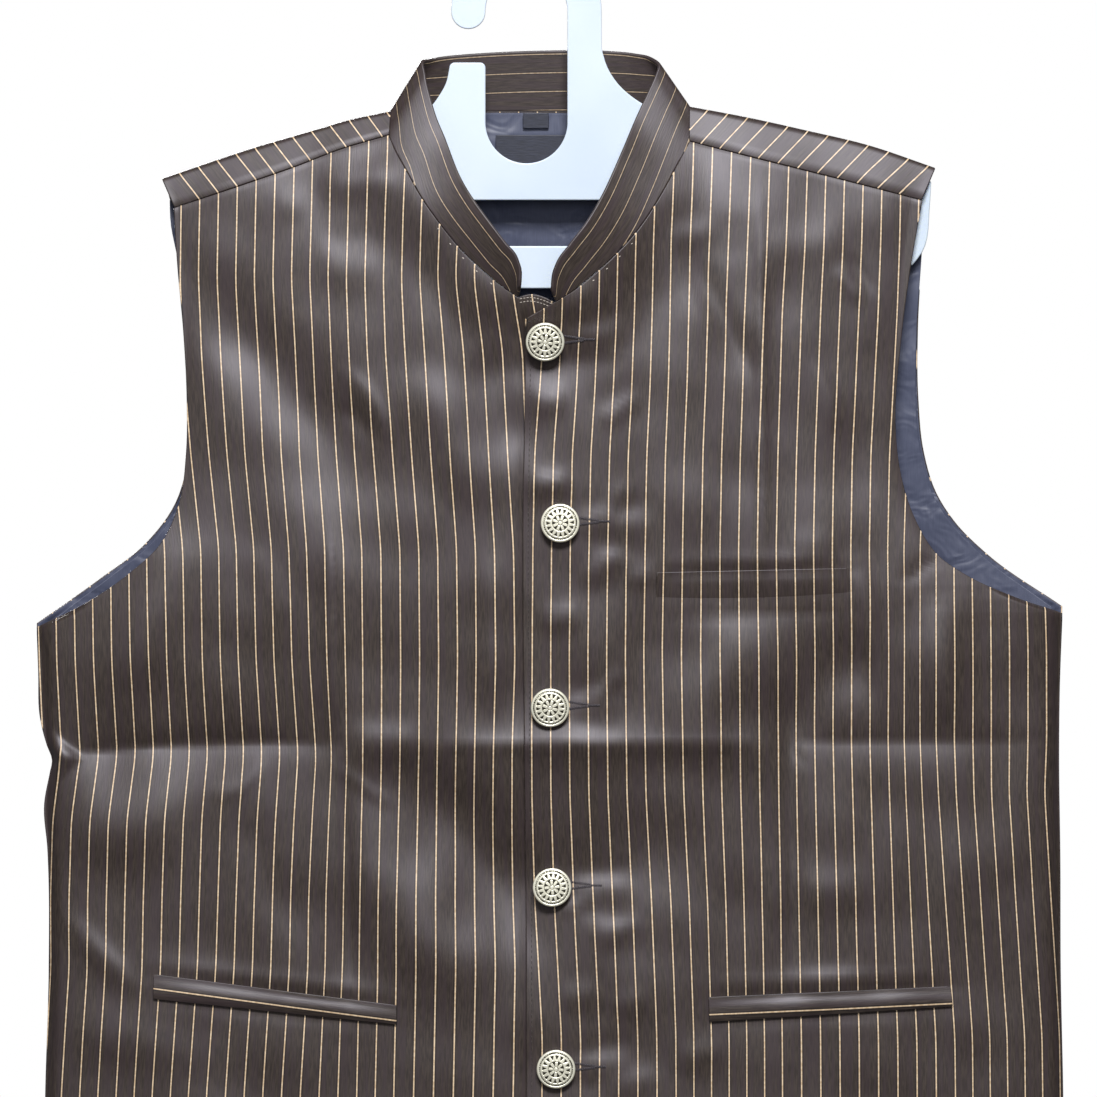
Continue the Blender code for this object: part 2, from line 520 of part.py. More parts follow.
def collar_points():
    """Mid-surface of the band collar: columns run round the neck and rows from the seam to the free edge."""
    seam, free = [], []
    for row in COLLAR:
        if row.run == "back":
            at_depth = float(neck_depth(np.array(row.seam_across)))
        elif row.run == "turn":
            at_depth = -strip_end_depth(row)
        else:
            at_depth = -float(front_depth(row.run, row.seam_across, row.seam_down))
        seam.append([row.seam_across, at_depth, -row.seam_down])
        free.append([row.free_across, row.free_depth, -row.free_down])
    shares = np.linspace(0.0, 1.0, BAND_COLUMNS + 1)
    seam, free = along_pair(np.array(seam), np.array(free), shares)
    seam[:, 1] = smoother(seam[:, 1])
    lean = free - seam
    lean /= np.linalg.norm(lean, axis=1, keepdims=True)
    inward = np.cross(np.gradient(seam, axis=0), lean)
    inward /= np.linalg.norm(inward, axis=1, keepdims=True)
    inward *= np.sign(np.sum(inward * (NECK_AXIS - seam), axis=1, keepdims=True))
    clear = 1 - np.clip(seam[:, 1:2] / NECK_DEPTH, 0.0, 1.0) * SEAM_EASE
    seam = seam + lean * SEAM_SETBACK * clear + inward * SEAM_INSET * clear ** 2
    rise = np.linspace(0.0, 1.0, BAND_ROWS + 1)[:, None, None]
    return seam[None] + (free - seam)[None] * rise


def strip_end_depth(row):
    """Depth of the shoulder strip's neck end at a station of the collar."""
    hand = "right" if row.seam_across < CENTRE else "left"
    top, corner = SHOULDER_FOLD[hand][-1].down, NECK[hand][0]
    share = np.clip((row.seam_down - top) / (corner.down - top), 0.0, 1.0)
    return float(front_depth(hand, corner.across, corner.down) * strip_rise(share))


def smoother(depths):
    """The same depths with small waves taken out where the band runs over the fronts."""
    window = SEAM_SMOOTHING
    soft = np.convolve(np.pad(depths, window, mode="edge"), np.hanning(2 * window + 1) / window, mode="valid")
    return depths + (soft - depths) * np.clip((-depths - 1.0) / 5.0, 0.0, 1.0)


def along_pair(first, second, shares):
    """Two curves read at the same stations, spaced evenly along the first."""
    steps = np.linalg.norm(np.diff(first, axis=0), axis=1)
    length = np.concatenate([[0.0], np.cumsum(steps)])
    at = shares * length[-1]
    read = [np.stack([through(length, curve[:, axis], at) for axis in range(3)], axis=1)
            for curve in (first, second)]
    return read[0], read[1]


# ---------------------------------------------------------------- Blender objects

def new_collection(name, hidden=False):
    collection = bpy.data.collections.new(name)
    collection.hide_render = hidden
    bpy.context.scene.collection.children.link(collection)
    return collection


def material(name, colour):
    base, roughness, metallic = COLOURS[colour]
    made = bpy.data.materials.new(name)
    made.use_nodes = True
    shader = made.node_tree.nodes["Principled BSDF"]
    shader.inputs["Base Color"].default_value = (*base, 1.0)
    shader.inputs["Roughness"].default_value = roughness
    shader.inputs["Metallic"].default_value = metallic
    return made


def add_object(name, mesh, collection, colour):
    obj = bpy.data.objects.new(name, mesh)
    collection.objects.link(obj)
    if colour:
        mesh.materials.append(material(name, colour))
    mesh.shade_smooth()
    return obj


def sheet(name, points, keep, thickness, collection, colour):
    """Cloth: a grid moved onto the given points, its unused cells removed, then given its wall."""
    rows, columns = points.shape[0] - 1, points.shape[1] - 1
    bm = bmesh.new()
    bmesh.ops.create_grid(bm, x_segments=columns, y_segments=rows, size=1.0)
    bm.verts.ensure_lookup_table()
    place = {}
    for vert in bm.verts:
        place[vert] = (round((1 - vert.co.y) * 0.5 * rows), round((vert.co.x + 1) * 0.5 * columns))
    if keep is not None:
        spare = []
        for face in bm.faces:
            row = min(place[vert][0] for vert in face.verts)
            column = min(place[vert][1] for vert in face.verts)
            if not keep[row, column]:
                spare.append(face)
        bmesh.ops.delete(bm, geom=spare, context="FACES")
    for vert in bm.verts:
        vert.co = Vector(points[place[vert]]) * MM
    mesh = bpy.data.meshes.new(name)
    bm.to_mesh(mesh)
    bm.free()
    obj = add_object(name, mesh, collection, colour)
    wall = obj.modifiers.new("Wall", "SOLIDIFY")
    wall.thickness = thickness * MM
    wall.offset = 0.0
    wall.use_quality_normals = True
    return obj


def welt_points(welt):
    """A pocket welt: the panel's own points between four corners, moved out of the panel."""
    across = np.linspace(0.0, 1.0, WELT_COLUMNS + 1)[None, :, None]
    down = np.linspace(0.0, 1.0, WELT_ROWS + 1)[:, None, None]
    top = (1 - across) * np.array(welt.top_start) + across * np.array(welt.top_end)
    bottom = (1 - across) * np.array(welt.bottom_start) + across * np.array(welt.bottom_end)
    plan = (1 - down) * top + down * bottom
    stand = 0.5 * SUITING + GAP + 0.5 * WELT + WELT_CLEAR
    gape = welt.gape * (1 - down[..., 0]) * np.sin(pi * across[..., 0])
    distance = -front_depth(welt.panel, plan[..., 0], plan[..., 1]) - stand - gape
    return to_points(plan, distance)


def label_points(corners):
    """A label sewn to the lining or the neck seam, hanging flat inside the back."""
    first, last = corners
    lining = lining_points()[0].reshape(-1, 3)
    near = ((lining[:, 0] > first.across - LABEL_REACH) & (lining[:, 0] < last.across + LABEL_REACH)
            & (-lining[:, 2] > first.down - LABEL_REACH) & (-lining[:, 2] < last.down + LABEL_REACH))
    inner = lining[near, 1].min() - 0.5 * LINING - GAP - 0.5 * LABEL
    plan = np.stack(np.meshgrid(np.linspace(first.across, last.across, 3), [first.down, last.down]), axis=-1)
    return to_points(plan, np.full(plan.shape[:2], inner))


def button_mesh(shank_length):
    """A domed disc with a shank behind it, as one turned profile; its axis is +Z and its back is at 0."""
    radius = 0.5 * BUTTON_DIAMETER
    shank = 0.5 * SHANK_DIAMETER
    profile = [(share * radius, height * BUTTON_THICKNESS) for share, height in reversed(DOME)]
    profile += [(shank, 0.0), (shank, -shank_length), (0.0, -shank_length)]
    bm = bmesh.new()
    verts = [bm.verts.new(Vector((x, 0.0, z)) * MM) for x, z in profile]
    for first, second in zip(verts, verts[1:]):
        bm.edges.new((first, second))
    bmesh.ops.spin(bm, geom=bm.verts[:] + bm.edges[:], axis=(0, 0, 1), cent=(0, 0, 0), steps=BUTTON_SIDES,
                   angle=2 * pi)
    bmesh.ops.remove_doubles(bm, verts=bm.verts[:], dist=1e-5)
    bmesh.ops.recalc_face_normals(bm, faces=bm.faces[:])
    mesh = bpy.data.meshes.new("button")
    bm.to_mesh(mesh)
    bm.free()
    return mesh


def add_buttons(parts, cutters, panel):
    """Five buttons on their shanks, each through a slot cut in the left front."""
    round_rim = np.linspace(0.0, 2 * pi, RIM_STATIONS, endpoint=False)
    for number, row in enumerate(BUTTONS, start=1):
        rim_across = row.across + 0.5 * BUTTON_DIAMETER * np.append(np.cos(round_rim), 0.0)
        rim_down = row.down + 0.5 * BUTTON_DIAMETER * np.append(np.sin(round_rim), 0.0)
        highest = front_depth("left", rim_across, rim_down).max()
        tip = 0.5 * BUTTON_DIAMETER * abs(sin(radians(row.tip)))
        back = highest + 0.5 * SUITING + BUTTON_STAND + tip
        under = front_depth("right", 0.5 * (rim_across + row.across), 0.5 * (rim_down + row.down)).max() + 0.5 * SUITING
        obj = add_object("button_%d" % number, button_mesh(back - under - 2 * GAP), parts, "metal")
        obj.matrix_world = (Matrix.Translation(Vector((row.across, -back, -row.down)) * MM)
                            @ Matrix.Rotation(radians(90.0 + row.tip), 4, "X"))
        bm = bmesh.new()
        bmesh.ops.create_cube(bm, size=1.0)
        bmesh.ops.scale(bm, verts=bm.verts[:], vec=Vector(SHANK_SLOT) * MM)
        mesh = bpy.data.meshes.new("slot_%d" % number)
        bm.to_mesh(mesh)
        bm.free()
        slot = add_object("slot_%d" % number, mesh, cutters, None)
        slot.location = Vector((row.across, 0.5 * SUITING - highest, -row.down)) * MM
        slot.hide_render = True
        slot.display_type = "WIRE"
        cut = panel.modifiers.new("Buttonhole %d" % number, "BOOLEAN")
        cut.operation = "DIFFERENCE"
        cut.solver = "EXACT"
        cut.object = slot


def arc(centre, radius, start, end, steps):
    """Points of a round stretch, from one angle in degrees to another; 90 points up."""
    angles = np.radians(np.linspace(start, end, steps + 1))
    return [(centre[0] + radius * cos(a), centre[1] - radius * sin(a)) for a in angles]


def hanger_outline():
    """The board's outline, from the hook's tip round the hanger: across and down."""
    hook = HOOK_CENTRE_DOWN
    corner = LUG_TOP_DOWN + LUG_CORNER
    outline = arc((-HOOK_BORE - 0.5 * HOOK_WIDTH, hook), 0.5 * HOOK_WIDTH, 180.0, 360.0, 8)
    outline += arc((0.0, hook), HOOK_BORE, 180.0, 0.0, 16)[1:]
    outline += arc((0.0, THROAT_BASE_DOWN), HOOK_BORE, 0.0, -180.0, 16)
    outline += arc((-HOOK_BORE - LUG_CORNER, corner), LUG_CORNER, 0.0, 90.0, 3)
    outline += arc((LUG_SHOULDER[0].across + LUG_CORNER, corner), LUG_CORNER, 90.0, 180.0, 3)
    outline += LUG_SHOULDER[1:]
    for fold, span, after in ((SHOULDER_FOLD["right"][::-1], (0.06, 0.965), LOWER_EDGE),
                              (SHOULDER_FOLD["left"], (0.04, 0.94), STEM_SHOULDER)):
        outline += [(across, down + BOARD_CLEAR) for across, down in along(fold, np.linspace(*span, 9))]
        outline += after
    outline += arc((0.0, hook), HOOK_BORE + HOOK_WIDTH, 0.0, 180.0, 22)[:-1]
    return outline


def hanger_slot():
    """The long slot between the board and its lower bar."""
    radius, middle = 0.5 * (SLOT_BASE_DOWN - SLOT_TOP_DOWN), 0.5 * (SLOT_TOP_DOWN + SLOT_BASE_DOWN)
    return (arc((CENTRE - SLOT_HALF, middle), radius, 90.0, 270.0, 8)
            + arc((CENTRE + SLOT_HALF, middle), radius, -90.0, 90.0, 8))


def add_hanger(parts):
    """A flat board: its outline and slot as one filled curve with an extrusion, turned upright."""
    curve = bpy.data.curves.new("hanger_outline", "CURVE")
    curve.dimensions = "2D"
    curve.fill_mode = "BOTH"
    curve.extrude = 0.5 * BOARD * MM
    for points in (hanger_outline(), hanger_slot()):
        spline = curve.splines.new("POLY")
        spline.points.add(len(points) - 1)
        for target, (across, down) in zip(spline.points, points):
            target.co = (across * MM, -down * MM, 0.0, 1.0)
        spline.use_cyclic_u = True
    guide = bpy.data.objects.new("hanger_guide", curve)
    parts.objects.link(guide)
    guide.matrix_world = Matrix.Rotation(radians(90.0), 4, "X")
    bpy.context.view_layer.update()
    evaluated = guide.evaluated_get(bpy.context.evaluated_depsgraph_get())
    mesh = bpy.data.meshes.new_from_object(evaluated)
    mesh.transform(guide.matrix_world)
    bpy.data.objects.remove(guide)
    bm = bmesh.new()
    bm.from_mesh(mesh)
    bmesh.ops.remove_doubles(bm, verts=bm.verts[:], dist=1e-5)
    bmesh.ops.recalc_face_normals(bm, faces=bm.faces[:])
    bm.to_mesh(mesh)
    bm.free()
    mesh.materials.clear()
    obj = add_object("hanger", mesh, parts, "plastic")
    mesh.set_sharp_from_angle(angle=radians(30.0))
    return obj


def main():
    for obj in list(bpy.data.objects):
        bpy.data.objects.remove(obj)
    parts = new_collection("nehru_jacket")
    cutters = new_collection("cutters", hidden=True)
    fronts = {}
    for hand in ("right", "left"):
        points, keep = front_points(hand)
        fronts[hand] = sheet("front_" + hand, points, keep, SUITING, parts, "suiting")
    points, keep = back_points()
    sheet("back", points, keep, SUITING, parts, "suiting")
    points, keep = lining_points()
    sheet("lining_back", points, keep, LINING, parts, "lining")
    sheet("collar", collar_points(), None, BAND, parts, "suiting")
    for welt in WELTS:
        sheet(welt.name, welt_points(welt), None, WELT, parts, "suiting")
    sheet("size_tag", label_points(SIZE_TAG), None, LABEL, parts, "label")
    sheet("neck_label", label_points(NECK_LABEL), None, LABEL, parts, "label")
    add_buttons(parts, cutters, fronts["left"])
    add_hanger(parts)


main()
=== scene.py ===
"""Dresses the sleeveless nehru jacket on its hanger: cloth, lining, stitching, buttons, labels and hanger.

Run as a script in Blender. It is laid out as an add-on: each operator makes one piece or one group of
like pieces, and the panel in the 3D view's sidebar lists them. Tables hold millimetres: "across" is X,
"down" is the drop below the rail (minus Z), and the fronts face -Y.
"""

import json
from collections import namedtuple
from functools import partial
from math import cos, pi, radians, sin

import bpy
import numpy as np
from bpy.props import FloatProperty, FloatVectorProperty, PointerProperty
from mathutils import Matrix, Vector

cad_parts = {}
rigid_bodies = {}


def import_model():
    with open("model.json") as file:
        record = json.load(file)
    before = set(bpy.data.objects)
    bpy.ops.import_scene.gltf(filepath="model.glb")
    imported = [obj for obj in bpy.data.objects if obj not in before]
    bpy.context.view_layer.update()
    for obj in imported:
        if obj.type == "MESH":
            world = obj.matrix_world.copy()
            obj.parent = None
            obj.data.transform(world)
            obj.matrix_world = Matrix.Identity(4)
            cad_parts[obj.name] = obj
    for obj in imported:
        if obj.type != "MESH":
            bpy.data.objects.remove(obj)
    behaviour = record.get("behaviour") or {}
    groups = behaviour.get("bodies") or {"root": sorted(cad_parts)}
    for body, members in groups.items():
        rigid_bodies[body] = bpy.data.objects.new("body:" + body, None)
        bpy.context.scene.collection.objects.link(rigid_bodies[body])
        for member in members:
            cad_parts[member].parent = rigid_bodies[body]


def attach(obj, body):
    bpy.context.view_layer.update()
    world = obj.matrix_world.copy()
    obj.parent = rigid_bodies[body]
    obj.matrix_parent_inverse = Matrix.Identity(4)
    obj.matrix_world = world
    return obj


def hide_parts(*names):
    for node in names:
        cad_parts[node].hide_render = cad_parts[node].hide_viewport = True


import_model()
for startup in [obj for obj in bpy.data.objects if obj.name in ("Cube", "Light", "Camera")]:
    bpy.data.objects.remove(startup)
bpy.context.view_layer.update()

bl_info = {
    "name": "Nehru jacket on a hanger",
    "version": (1, 0, 0),
    "blender": (4, 5, 0),
    "location": "3D View > Sidebar > Jacket",
    "description": "Builds a pinstriped nehru jacket with its lining, stitching, buttons and hanger",
    "category": "Object",
}

MM = 0.001
GAP = 0.3  # clearance at every seam
EDGE_ROUND = 0.8  # how far a cloth's edge stands out beyond its middle, as a share of half its thickness
At = namedtuple("At", "across down")


def both_hands(right, left):
    """An outline of each hand. The wearer's right front is on the viewer's left."""
    return {"right": [At(*place) for place in right], "left": [At(*place) for place in left]}


# Driving heights below the rail
ARMHOLE_BASE = {"right": 369.0, "left": 361.2}
NECK_BASE = 184.8
HEM = 779.0
HEM_DIP = 4.0

OVERLAP = 27.7  # the underlap's edge, across
LAP_GAP = 0.9  # between the lapped front and the one under it
LAP_DIP = 1.5  # the right front sinks this much under the left one's edge
LAP_DIP_REACH = 3.4
LAP_DIP_START = 20.0  # length from the neck over which the dip deepens
CORNER_CURL = 1.8  # the left front's top corner lifts
CORNER_REACH = 9.0
LAP_EASE = (4.0, 40.0)  # start and length, past the underlap, of the lapped front's way back to the form
UNDERLAP_TOP = ((0.0, 0.2, 0.45, 0.6, 1.0), (0.0, -1.8, -0.2, 2.2, 8.0))  # share of its width, and the drop
CENTRE = 8.0  # the front closure's middle, across

SHOULDER_FOLD = both_hands(
    [(-204.0, 117.2), (-153.6, 100.2), (-121.1, 90.7), (-99.3, 84.3), (-76.8, 79.6)],
    [(229.0, 111.2), (191.9, 98.6), (156.6, 90.2), (123.6, 82.9), (92.0, 77.0)]
)
SHOULDER_SEAM = both_hands(
    [(-197.3, 133.8), (-163.1, 122.6), (-131.2, 111.6), (-104.0, 101.2), (-77.4, 93.4)],
    [(221.6, 129.6), (176.8, 118.2), (131.4, 107.0), (91.8, 96.8)]
)
NECK = both_hands(
    [(-77.4, 93.4), (-74.6, 100.4), (-67.4, 113.7), (-59.0, 128.8), (-47.8, 144.6), (-37.4, 157.4),
     (-25.2, 169.4), (-12.9, 179.4), (-4.6, 184.8)],
    [(91.8, 96.8), (85.0, 109.8), (74.9, 128.4), (61.4, 148.4), (49.7, 161.2), (37.4, 172.5), (26.0, 181.6),
     (16.6, 187.2)]
)
ARMHOLE = both_hands(
    [(-197.3, 133.8), (-195.6, 161.8), (-191.7, 206.0), (-190.0, 239.1), (-190.3, 270.5), (-194.5, 300.4),
     (-204.3, 321.9), (-221.9, 338.6), (-246.5, 355.4), (-274.6, 369.0)],
    [(221.6, 129.6), (214.9, 167.4), (209.8, 206.1), (206.5, 256.7), (208.6, 278.6), (216.2, 305.5),
     (229.4, 327.7), (247.4, 340.5), (269.0, 350.4), (300.6, 361.2)]
)
BACK_ARMHOLE = both_hands(
    [(-199.6, 130.2), (-199.2, 142.4), (-195.8, 162.0), (-191.0, 206.0), (-189.0, 245.0), (-189.8, 272.0),
     (-197.2, 299.2), (-214.7, 322.7), (-238.9, 341.4), (-274.6, 366.8)],
    [(224.0, 124.6), (222.6, 140.0), (221.4, 166.0), (219.7, 200.3), (219.9, 239.1), (223.2, 270.9),
     (229.8, 292.6), (240.5, 309.6), (258.2, 327.4), (300.6, 357.3)]
)
SIDE = both_hands(
    [(-274.6, 369.0), (-273.7, 394.2), (-272.8, 419.0), (-269.0, 434.6), (-265.9, 443.6), (-267.2, 450.4),
     (-270.4, 468.5), (-268.6, 492.6), (-267.8, 559.4), (-269.8, 631.7), (-270.6, 706.0), (-269.5, HEM)],
    [(300.6, 361.2), (299.1, 402.1), (298.7, 437.4), (299.4, 500.6), (299.6, 560.4), (301.0, 631.7),
     (301.4, 706.0), (300.0, HEM)]
)
FRONT_EDGE = both_hands(
    [(-4.6, NECK_BASE), (-0.9, 241.4), (-1.4, 310.0), (-0.9, 409.4), (0.2, 521.4), (0.4, HEM)],
    [(-0.1, 196.4), (-0.3, 241.4), (-1.3, 306.0), (-0.7, 409.4), (0.4, 521.4), (0.4, HEM)]
)

# Depth of the wall's middle at the centre and at the outer edge of the fronts and of the back
Section = namedtuple("Section", "down front front_edge back back_edge side_roll")
SECTIONS = [Section(*row) for row in [
    (76.0, 6.5, 4.5, 17.5, 6.0, 0.0),
    (92.0, 8.5, 4.8, 19.0, 6.2, 0.0),
    (112.0, 14.5, 5.4, 20.5, 6.7, 0.0),
    (145.0, 21.0, 7.4, 22.0, 7.2, 0.0),
    (187.0, 27.5, 9.4, 23.5, 8.0, 0.0),
    (250.0, 31.5, 10.0, 24.5, 8.4, 0.0),
    (310.0, 33.0, 8.0, 25.0, 7.2, 0.0),
    (340.0, 33.0, 4.6, 25.0, 4.4, 0.08),
    (369.0, 32.5, 1.0, 24.5, 1.0, 0.20),
    (437.0, 29.5, 0.95, 22.0, 0.95, 0.22),
    (520.0, 29.5, 0.95, 21.5, 0.95, 0.22),
    (640.0, 27.5, 0.95, 20.0, 0.95, 0.22),
    (HEM + HEM_DIP, 24.5, 0.95, 18.5, 0.95, 0.22),
]]
SIDE_EDGE = 0.95  # least depth of the form at its outer edge
SIDE_SEAM = 0.62  # where both walls come together at the side seam
SIDE_SEAM_REACH = 3.0
SIDE_SEAM_START = 14.0  # above the armhole's base
BULGE = 2.3
ROLL_POWER = 40
FORM_AHEAD = 64.0  # how far below a height the form looks for its outer edge
FULL_REACH = 200.0  # folds reach their full height where the panel is at least this wide
NECK_DEPTH = 18.5
NECK_ROUND = 2.6  # power of the back neck's round: 2 is an ellipse
TURN_DROP = 13.0
STRIP_TURN = 0.1  # share of the shoulder strip's width that the tight turn at the fold takes
STRIP_SLOPE = 0.72  # share of the seam's depth that the rest of its width gains
STRIP_PROUD = 0.8  # the strip stands over the front at their seam
SEAM_GAP = 1.4  # between the edges' middles, which their rounding half closes
SEAM_TUCK = {"front": 0.4, "strip": 1.0}  # the cloth turns in at the shoulder seam
SEAM_ROUND = 1.0
LINING_HEM = 12.0
LINING_WRINKLE = 0.7
LINING_WAVES = ((21, 26.0), (22, 60.0))  # seed and spacing
LINING_FLAT = 12.0  # wrinkles reach their full height this deep
BACK_NECK = [At(-40.0, 78.8), At(8.0, 78.6), At(54.0, 78.4)]  # the fold between the shoulders

# Cells of the grids
NECK_ROWS, CORNER_ROWS, UPPER_ROWS, BODY_ROWS = 36, 5, 44, 136
FRONT_COLUMNS = 92
LAP_COLUMNS = 18
ROLL_COLUMNS = 9
ROLL_SHARE = 0.045  # of a front's width, which the roll's columns share
SHOULDER_CELLS = 34
STRIP_CELLS = SHOULDER_CELLS + 2  # with the denser ones at its end
BACK_NECK_CELLS = 44
BACK_CHEST_ROWS = 58
BACK_BODY_ROWS = 112
WRAP_ROWS = 12  # over the shoulder fold, and as many in the turn behind it
LINING_SKIP = 3  # rows of the turn without lining
LINING_INSET = 3  # columns

# Folds in the cloth. A rise stands out of the garment and a negative one sinks in; sharp is 1 for a pressed
# crease and 0 for a soft fold.
Fold = namedtuple("Fold", "across down to_across to_down half_width rise bow sharp", defaults=(0.0, 0))
FRONT_FOLDS = [Fold(*row) for row in [
    # the neck seam stands proud, and the cloth falls in below it
    (-74.1, 101.4, -6.3, 195.4, 22.4, 9.8),
    (81.6, 107.0, 14.4, 195.4, 23.5, 10.2),
    (-24.0, 186.0, 42.0, 186.0, 15.0, 2.4),
    (-56.7, 164.1, -30.4, 214.5, 11.2, -1.5),
    (-24.8, 223.4, 41.3, 221.2, 12.3, -2.6),
    (48.0, 222.3, 79.4, 175.3, 12.3, -1.2),
    # the wearer's right chest
    (-179.9, 175.8, -80.2, 297.4, 20.2, -5.6),
    (-190.6, 225.7, -112.0, 324.0, 21.0, 1.6),
    (-110.5, 314.2, -106.6, 429.0, 7.8, 4.6, 0.0, 1),
    (-101.5, 225.7, -77.4, 263.8, 5.0, 1.6, 3.4),
    (-105.4, 245.8, -86.4, 264.9, 5.0, -1.2, 3.4),
    (-116.6, 121.5, -73.5, 117.0, 10.1, 2.6),
    (-114.4, 150.6, -79.1, 143.9, 10.1, -1.0, -4.5),
    (-112.7, 169.7, -83.0, 164.1, 10.1, 0.6, -3.4),
    (-140.2, 131.0, -123.4, 133.8, 7.8, 0.6),
    (-56.7, 222.3, -27.0, 301.8, 14.6, 2.8),
    (-25.9, 214.5, -1.3, 270.5, 13.4, -2.4),
    (-19.2, 328.7, -19.2, 416.1, 7.8, 2.6),
    (-195.0, 319.8, -232.0, 415.0, 16.8, 4.5),
    (-154.7, 324.2, -132.3, 364.6, 9.0, 1.2),
    # the wearer's left chest
    (79.4, 150.6, 106.2, 146.7, 7.3, 1.2),
    (99.5, 137.2, 132.0, 136.1, 7.3, 0.3),
    (104.0, 158.5, 129.8, 157.4, 7.3, -0.3),
    (134.2, 155.7, 179.0, 152.9, 11.2, 1.4),
    (90.6, 158.5, 126.4, 227.9, 8.4, -2.6),
    (130.9, 132.2, 132.0, 333.8, 5.0, 2.6, 0.0, 1),
    (173.4, 167.4, 188.0, 186.5, 4.5, 1.2),
    (181.3, 160.7, 195.8, 182.0, 3.9, -1.0),
    (160.0, 220.1, 171.2, 259.3, 4.5, 0.9, 3.4),
    (147.7, 324.2, 174.6, 320.9, 9.0, 1.2),
    (185.8, 331.0, 200.3, 409.4, 4.5, 2.0),
    (228.9, 353.4, 236.2, 421.7, 13.4, 4.0),
    (128.0, 371.0, 79.4, 432.9, 19.0, 3.8),
    (191.4, 375.8, 137.6, 432.9, 17.9, -4.0),
    (207.0, 258.2, 227.8, 327.0, 4.5, -1.8, -2.2, 1),
    (227.8, 326.5, 244.0, 317.5, 3.4, -1.2, 0.0, 1),
    (228.9, 328.7, 210.4, 344.4, 4.5, -1.8, 0.0, 1),
    # the crease from packing: a valley at both sides and a ridge between
    (-272.3, 441.3, -101.0, 434.0, 16.8, -7.0, 3.4, 1),
    (-102.1, 432.9, -57.3, 434.0, 11.2, 3.6),
    (-59.5, 434.6, 139.8, 433.4, 19.0, 6.3, 0.0, 1),
    (-3.5, 437.4, 69.3, 434.0, 14.6, 0.6),
    (139.8, 432.3, 294.4, 432.9, 13.4, -2.8, 0.0, 1),
    # crossing creases at its two kinks
    (-106.6, 446.3, -75.2, 468.7, 2.8, 0.9),
    (138.7, 428.4, 157.8, 447.4, 2.8, -0.9, 0.0, 1),
    # under the crease
    (-262.0, 483.5, -188.3, 472.1, 20.2, 3.8),
    (-266.7, 524.7, -219.7, 571.8, 6.7, 2.4),
    (-176.0, 463.7, -148.0, 444.1, 4.5, 1.0, -4.5),
    (-68.5, 444.1, 14.4, 559.4, 23.5, -8.8, 2.2),
    (-109.9, 468.7, -33.8, 577.4, 22.4, 5.2),
    (-103.2, 449.7, -97.6, 570.6, 6.7, -4.6, 0.0, 1),
    (-164.8, 465.4, -126.7, 543.8, 11.2, -1.4),
    (-31.5, 503.4, 97.3, 497.8, 24.6, -4.0),
    (146.6, 412.0, 150.5, 559.4, 6.7, -3.0, 0.0, 1),
    (153.3, 518.6, 191.4, 514.6, 12.3, 1.8),
    (133.7, 524.2, 147.7, 521.4, 9.0, 0.8),
    (153.3, 569.5, 191.4, 566.2, 9.0, 1.6),
    (231.7, 505.7, 287.7, 500.1, 16.8, 2.2),
    # along the front closure
    (2.1, 243.6, 22.2, 241.4, 7.3, 1.8),
    (41.3, 254.8, 63.7, 239.1, 5.0, 1.4),
    (1.0, 289.5, 25.6, 288.4, 6.7, 2.4),
    (39.0, 308.6, 58.1, 289.5, 5.6, 1.4),
    (32.3, 343.3, 53.6, 326.5, 6.2, 1.8),
    (55.8, 343.3, 74.9, 337.7, 5.0, 1.2),
    (7.7, 365.7, 30.1, 361.2, 6.7, 1.8),
    (35.7, 409.4, 53.6, 393.7, 4.5, 1.6),
    (18.9, 528.1, 39.0, 519.1, 4.5, 1.2),
    (39.0, 543.8, 63.7, 533.7, 6.7, 1.4),
    (18.9, 577.4, 41.3, 572.9, 7.8, 1.6),
    (48.0, 580.7, 68.2, 577.4, 6.7, 1.2),
    (41.3, 628.9, 74.9, 618.8, 7.8, 1.4),
    (86.1, 612.1, 108.5, 604.2, 7.8, 1.4),
    # at the welts' seams
    (-208.5, 578.0, -73.0, 591.6, 4.0, -0.8),
    (-208.5, 557.0, -73.0, 573.6, 4.0, 0.6),
    (-208.5, 564.2, -73.0, 581.0, 3.2, -1.4),
    (102.3, 590.4, 238.4, 582.2, 4.0, -0.8),
    (104.0, 567.5, 236.2, 562.0, 4.0, 0.7),
    (102.3, 576.4, 237.3, 570.8, 3.2, -1.5),
    (70.4, 332.3, 181.3, 329.6, 4.0, 0.4),
    (73.2, 338.8, 180.2, 336.4, 3.2, -1.2),
    (72.6, 363.4, 181.3, 360.1, 5.0, -1.0, 0.0, 1),
    # at the hem's side
    (-255.5, 597.5, -160.3, 614.3, 13.4, 1.8),
    # below the pockets
    (-210.0, 630.0, -90.0, 770.0, 24.0, 4.0, 10.0),
    (60.0, 640.0, 190.0, 765.0, 24.0, 3.8, -10.0),
]]
FOLDS_FADE, TUCK_FADE = 20, 150  # powers: the higher, the nearer to the outer edge a fold still stands
# Soft unevenness of the whole cloth: height, share of the drop that counts, and spacing. The last one is
# drawn out down the warp.
WAVES = ((0.9, 1.0, 80.0), (0.4, 1.0, 30.0), (0.45, 0.22, 44.0))
WAVE_SEED = {"front": 3, "back": 8}
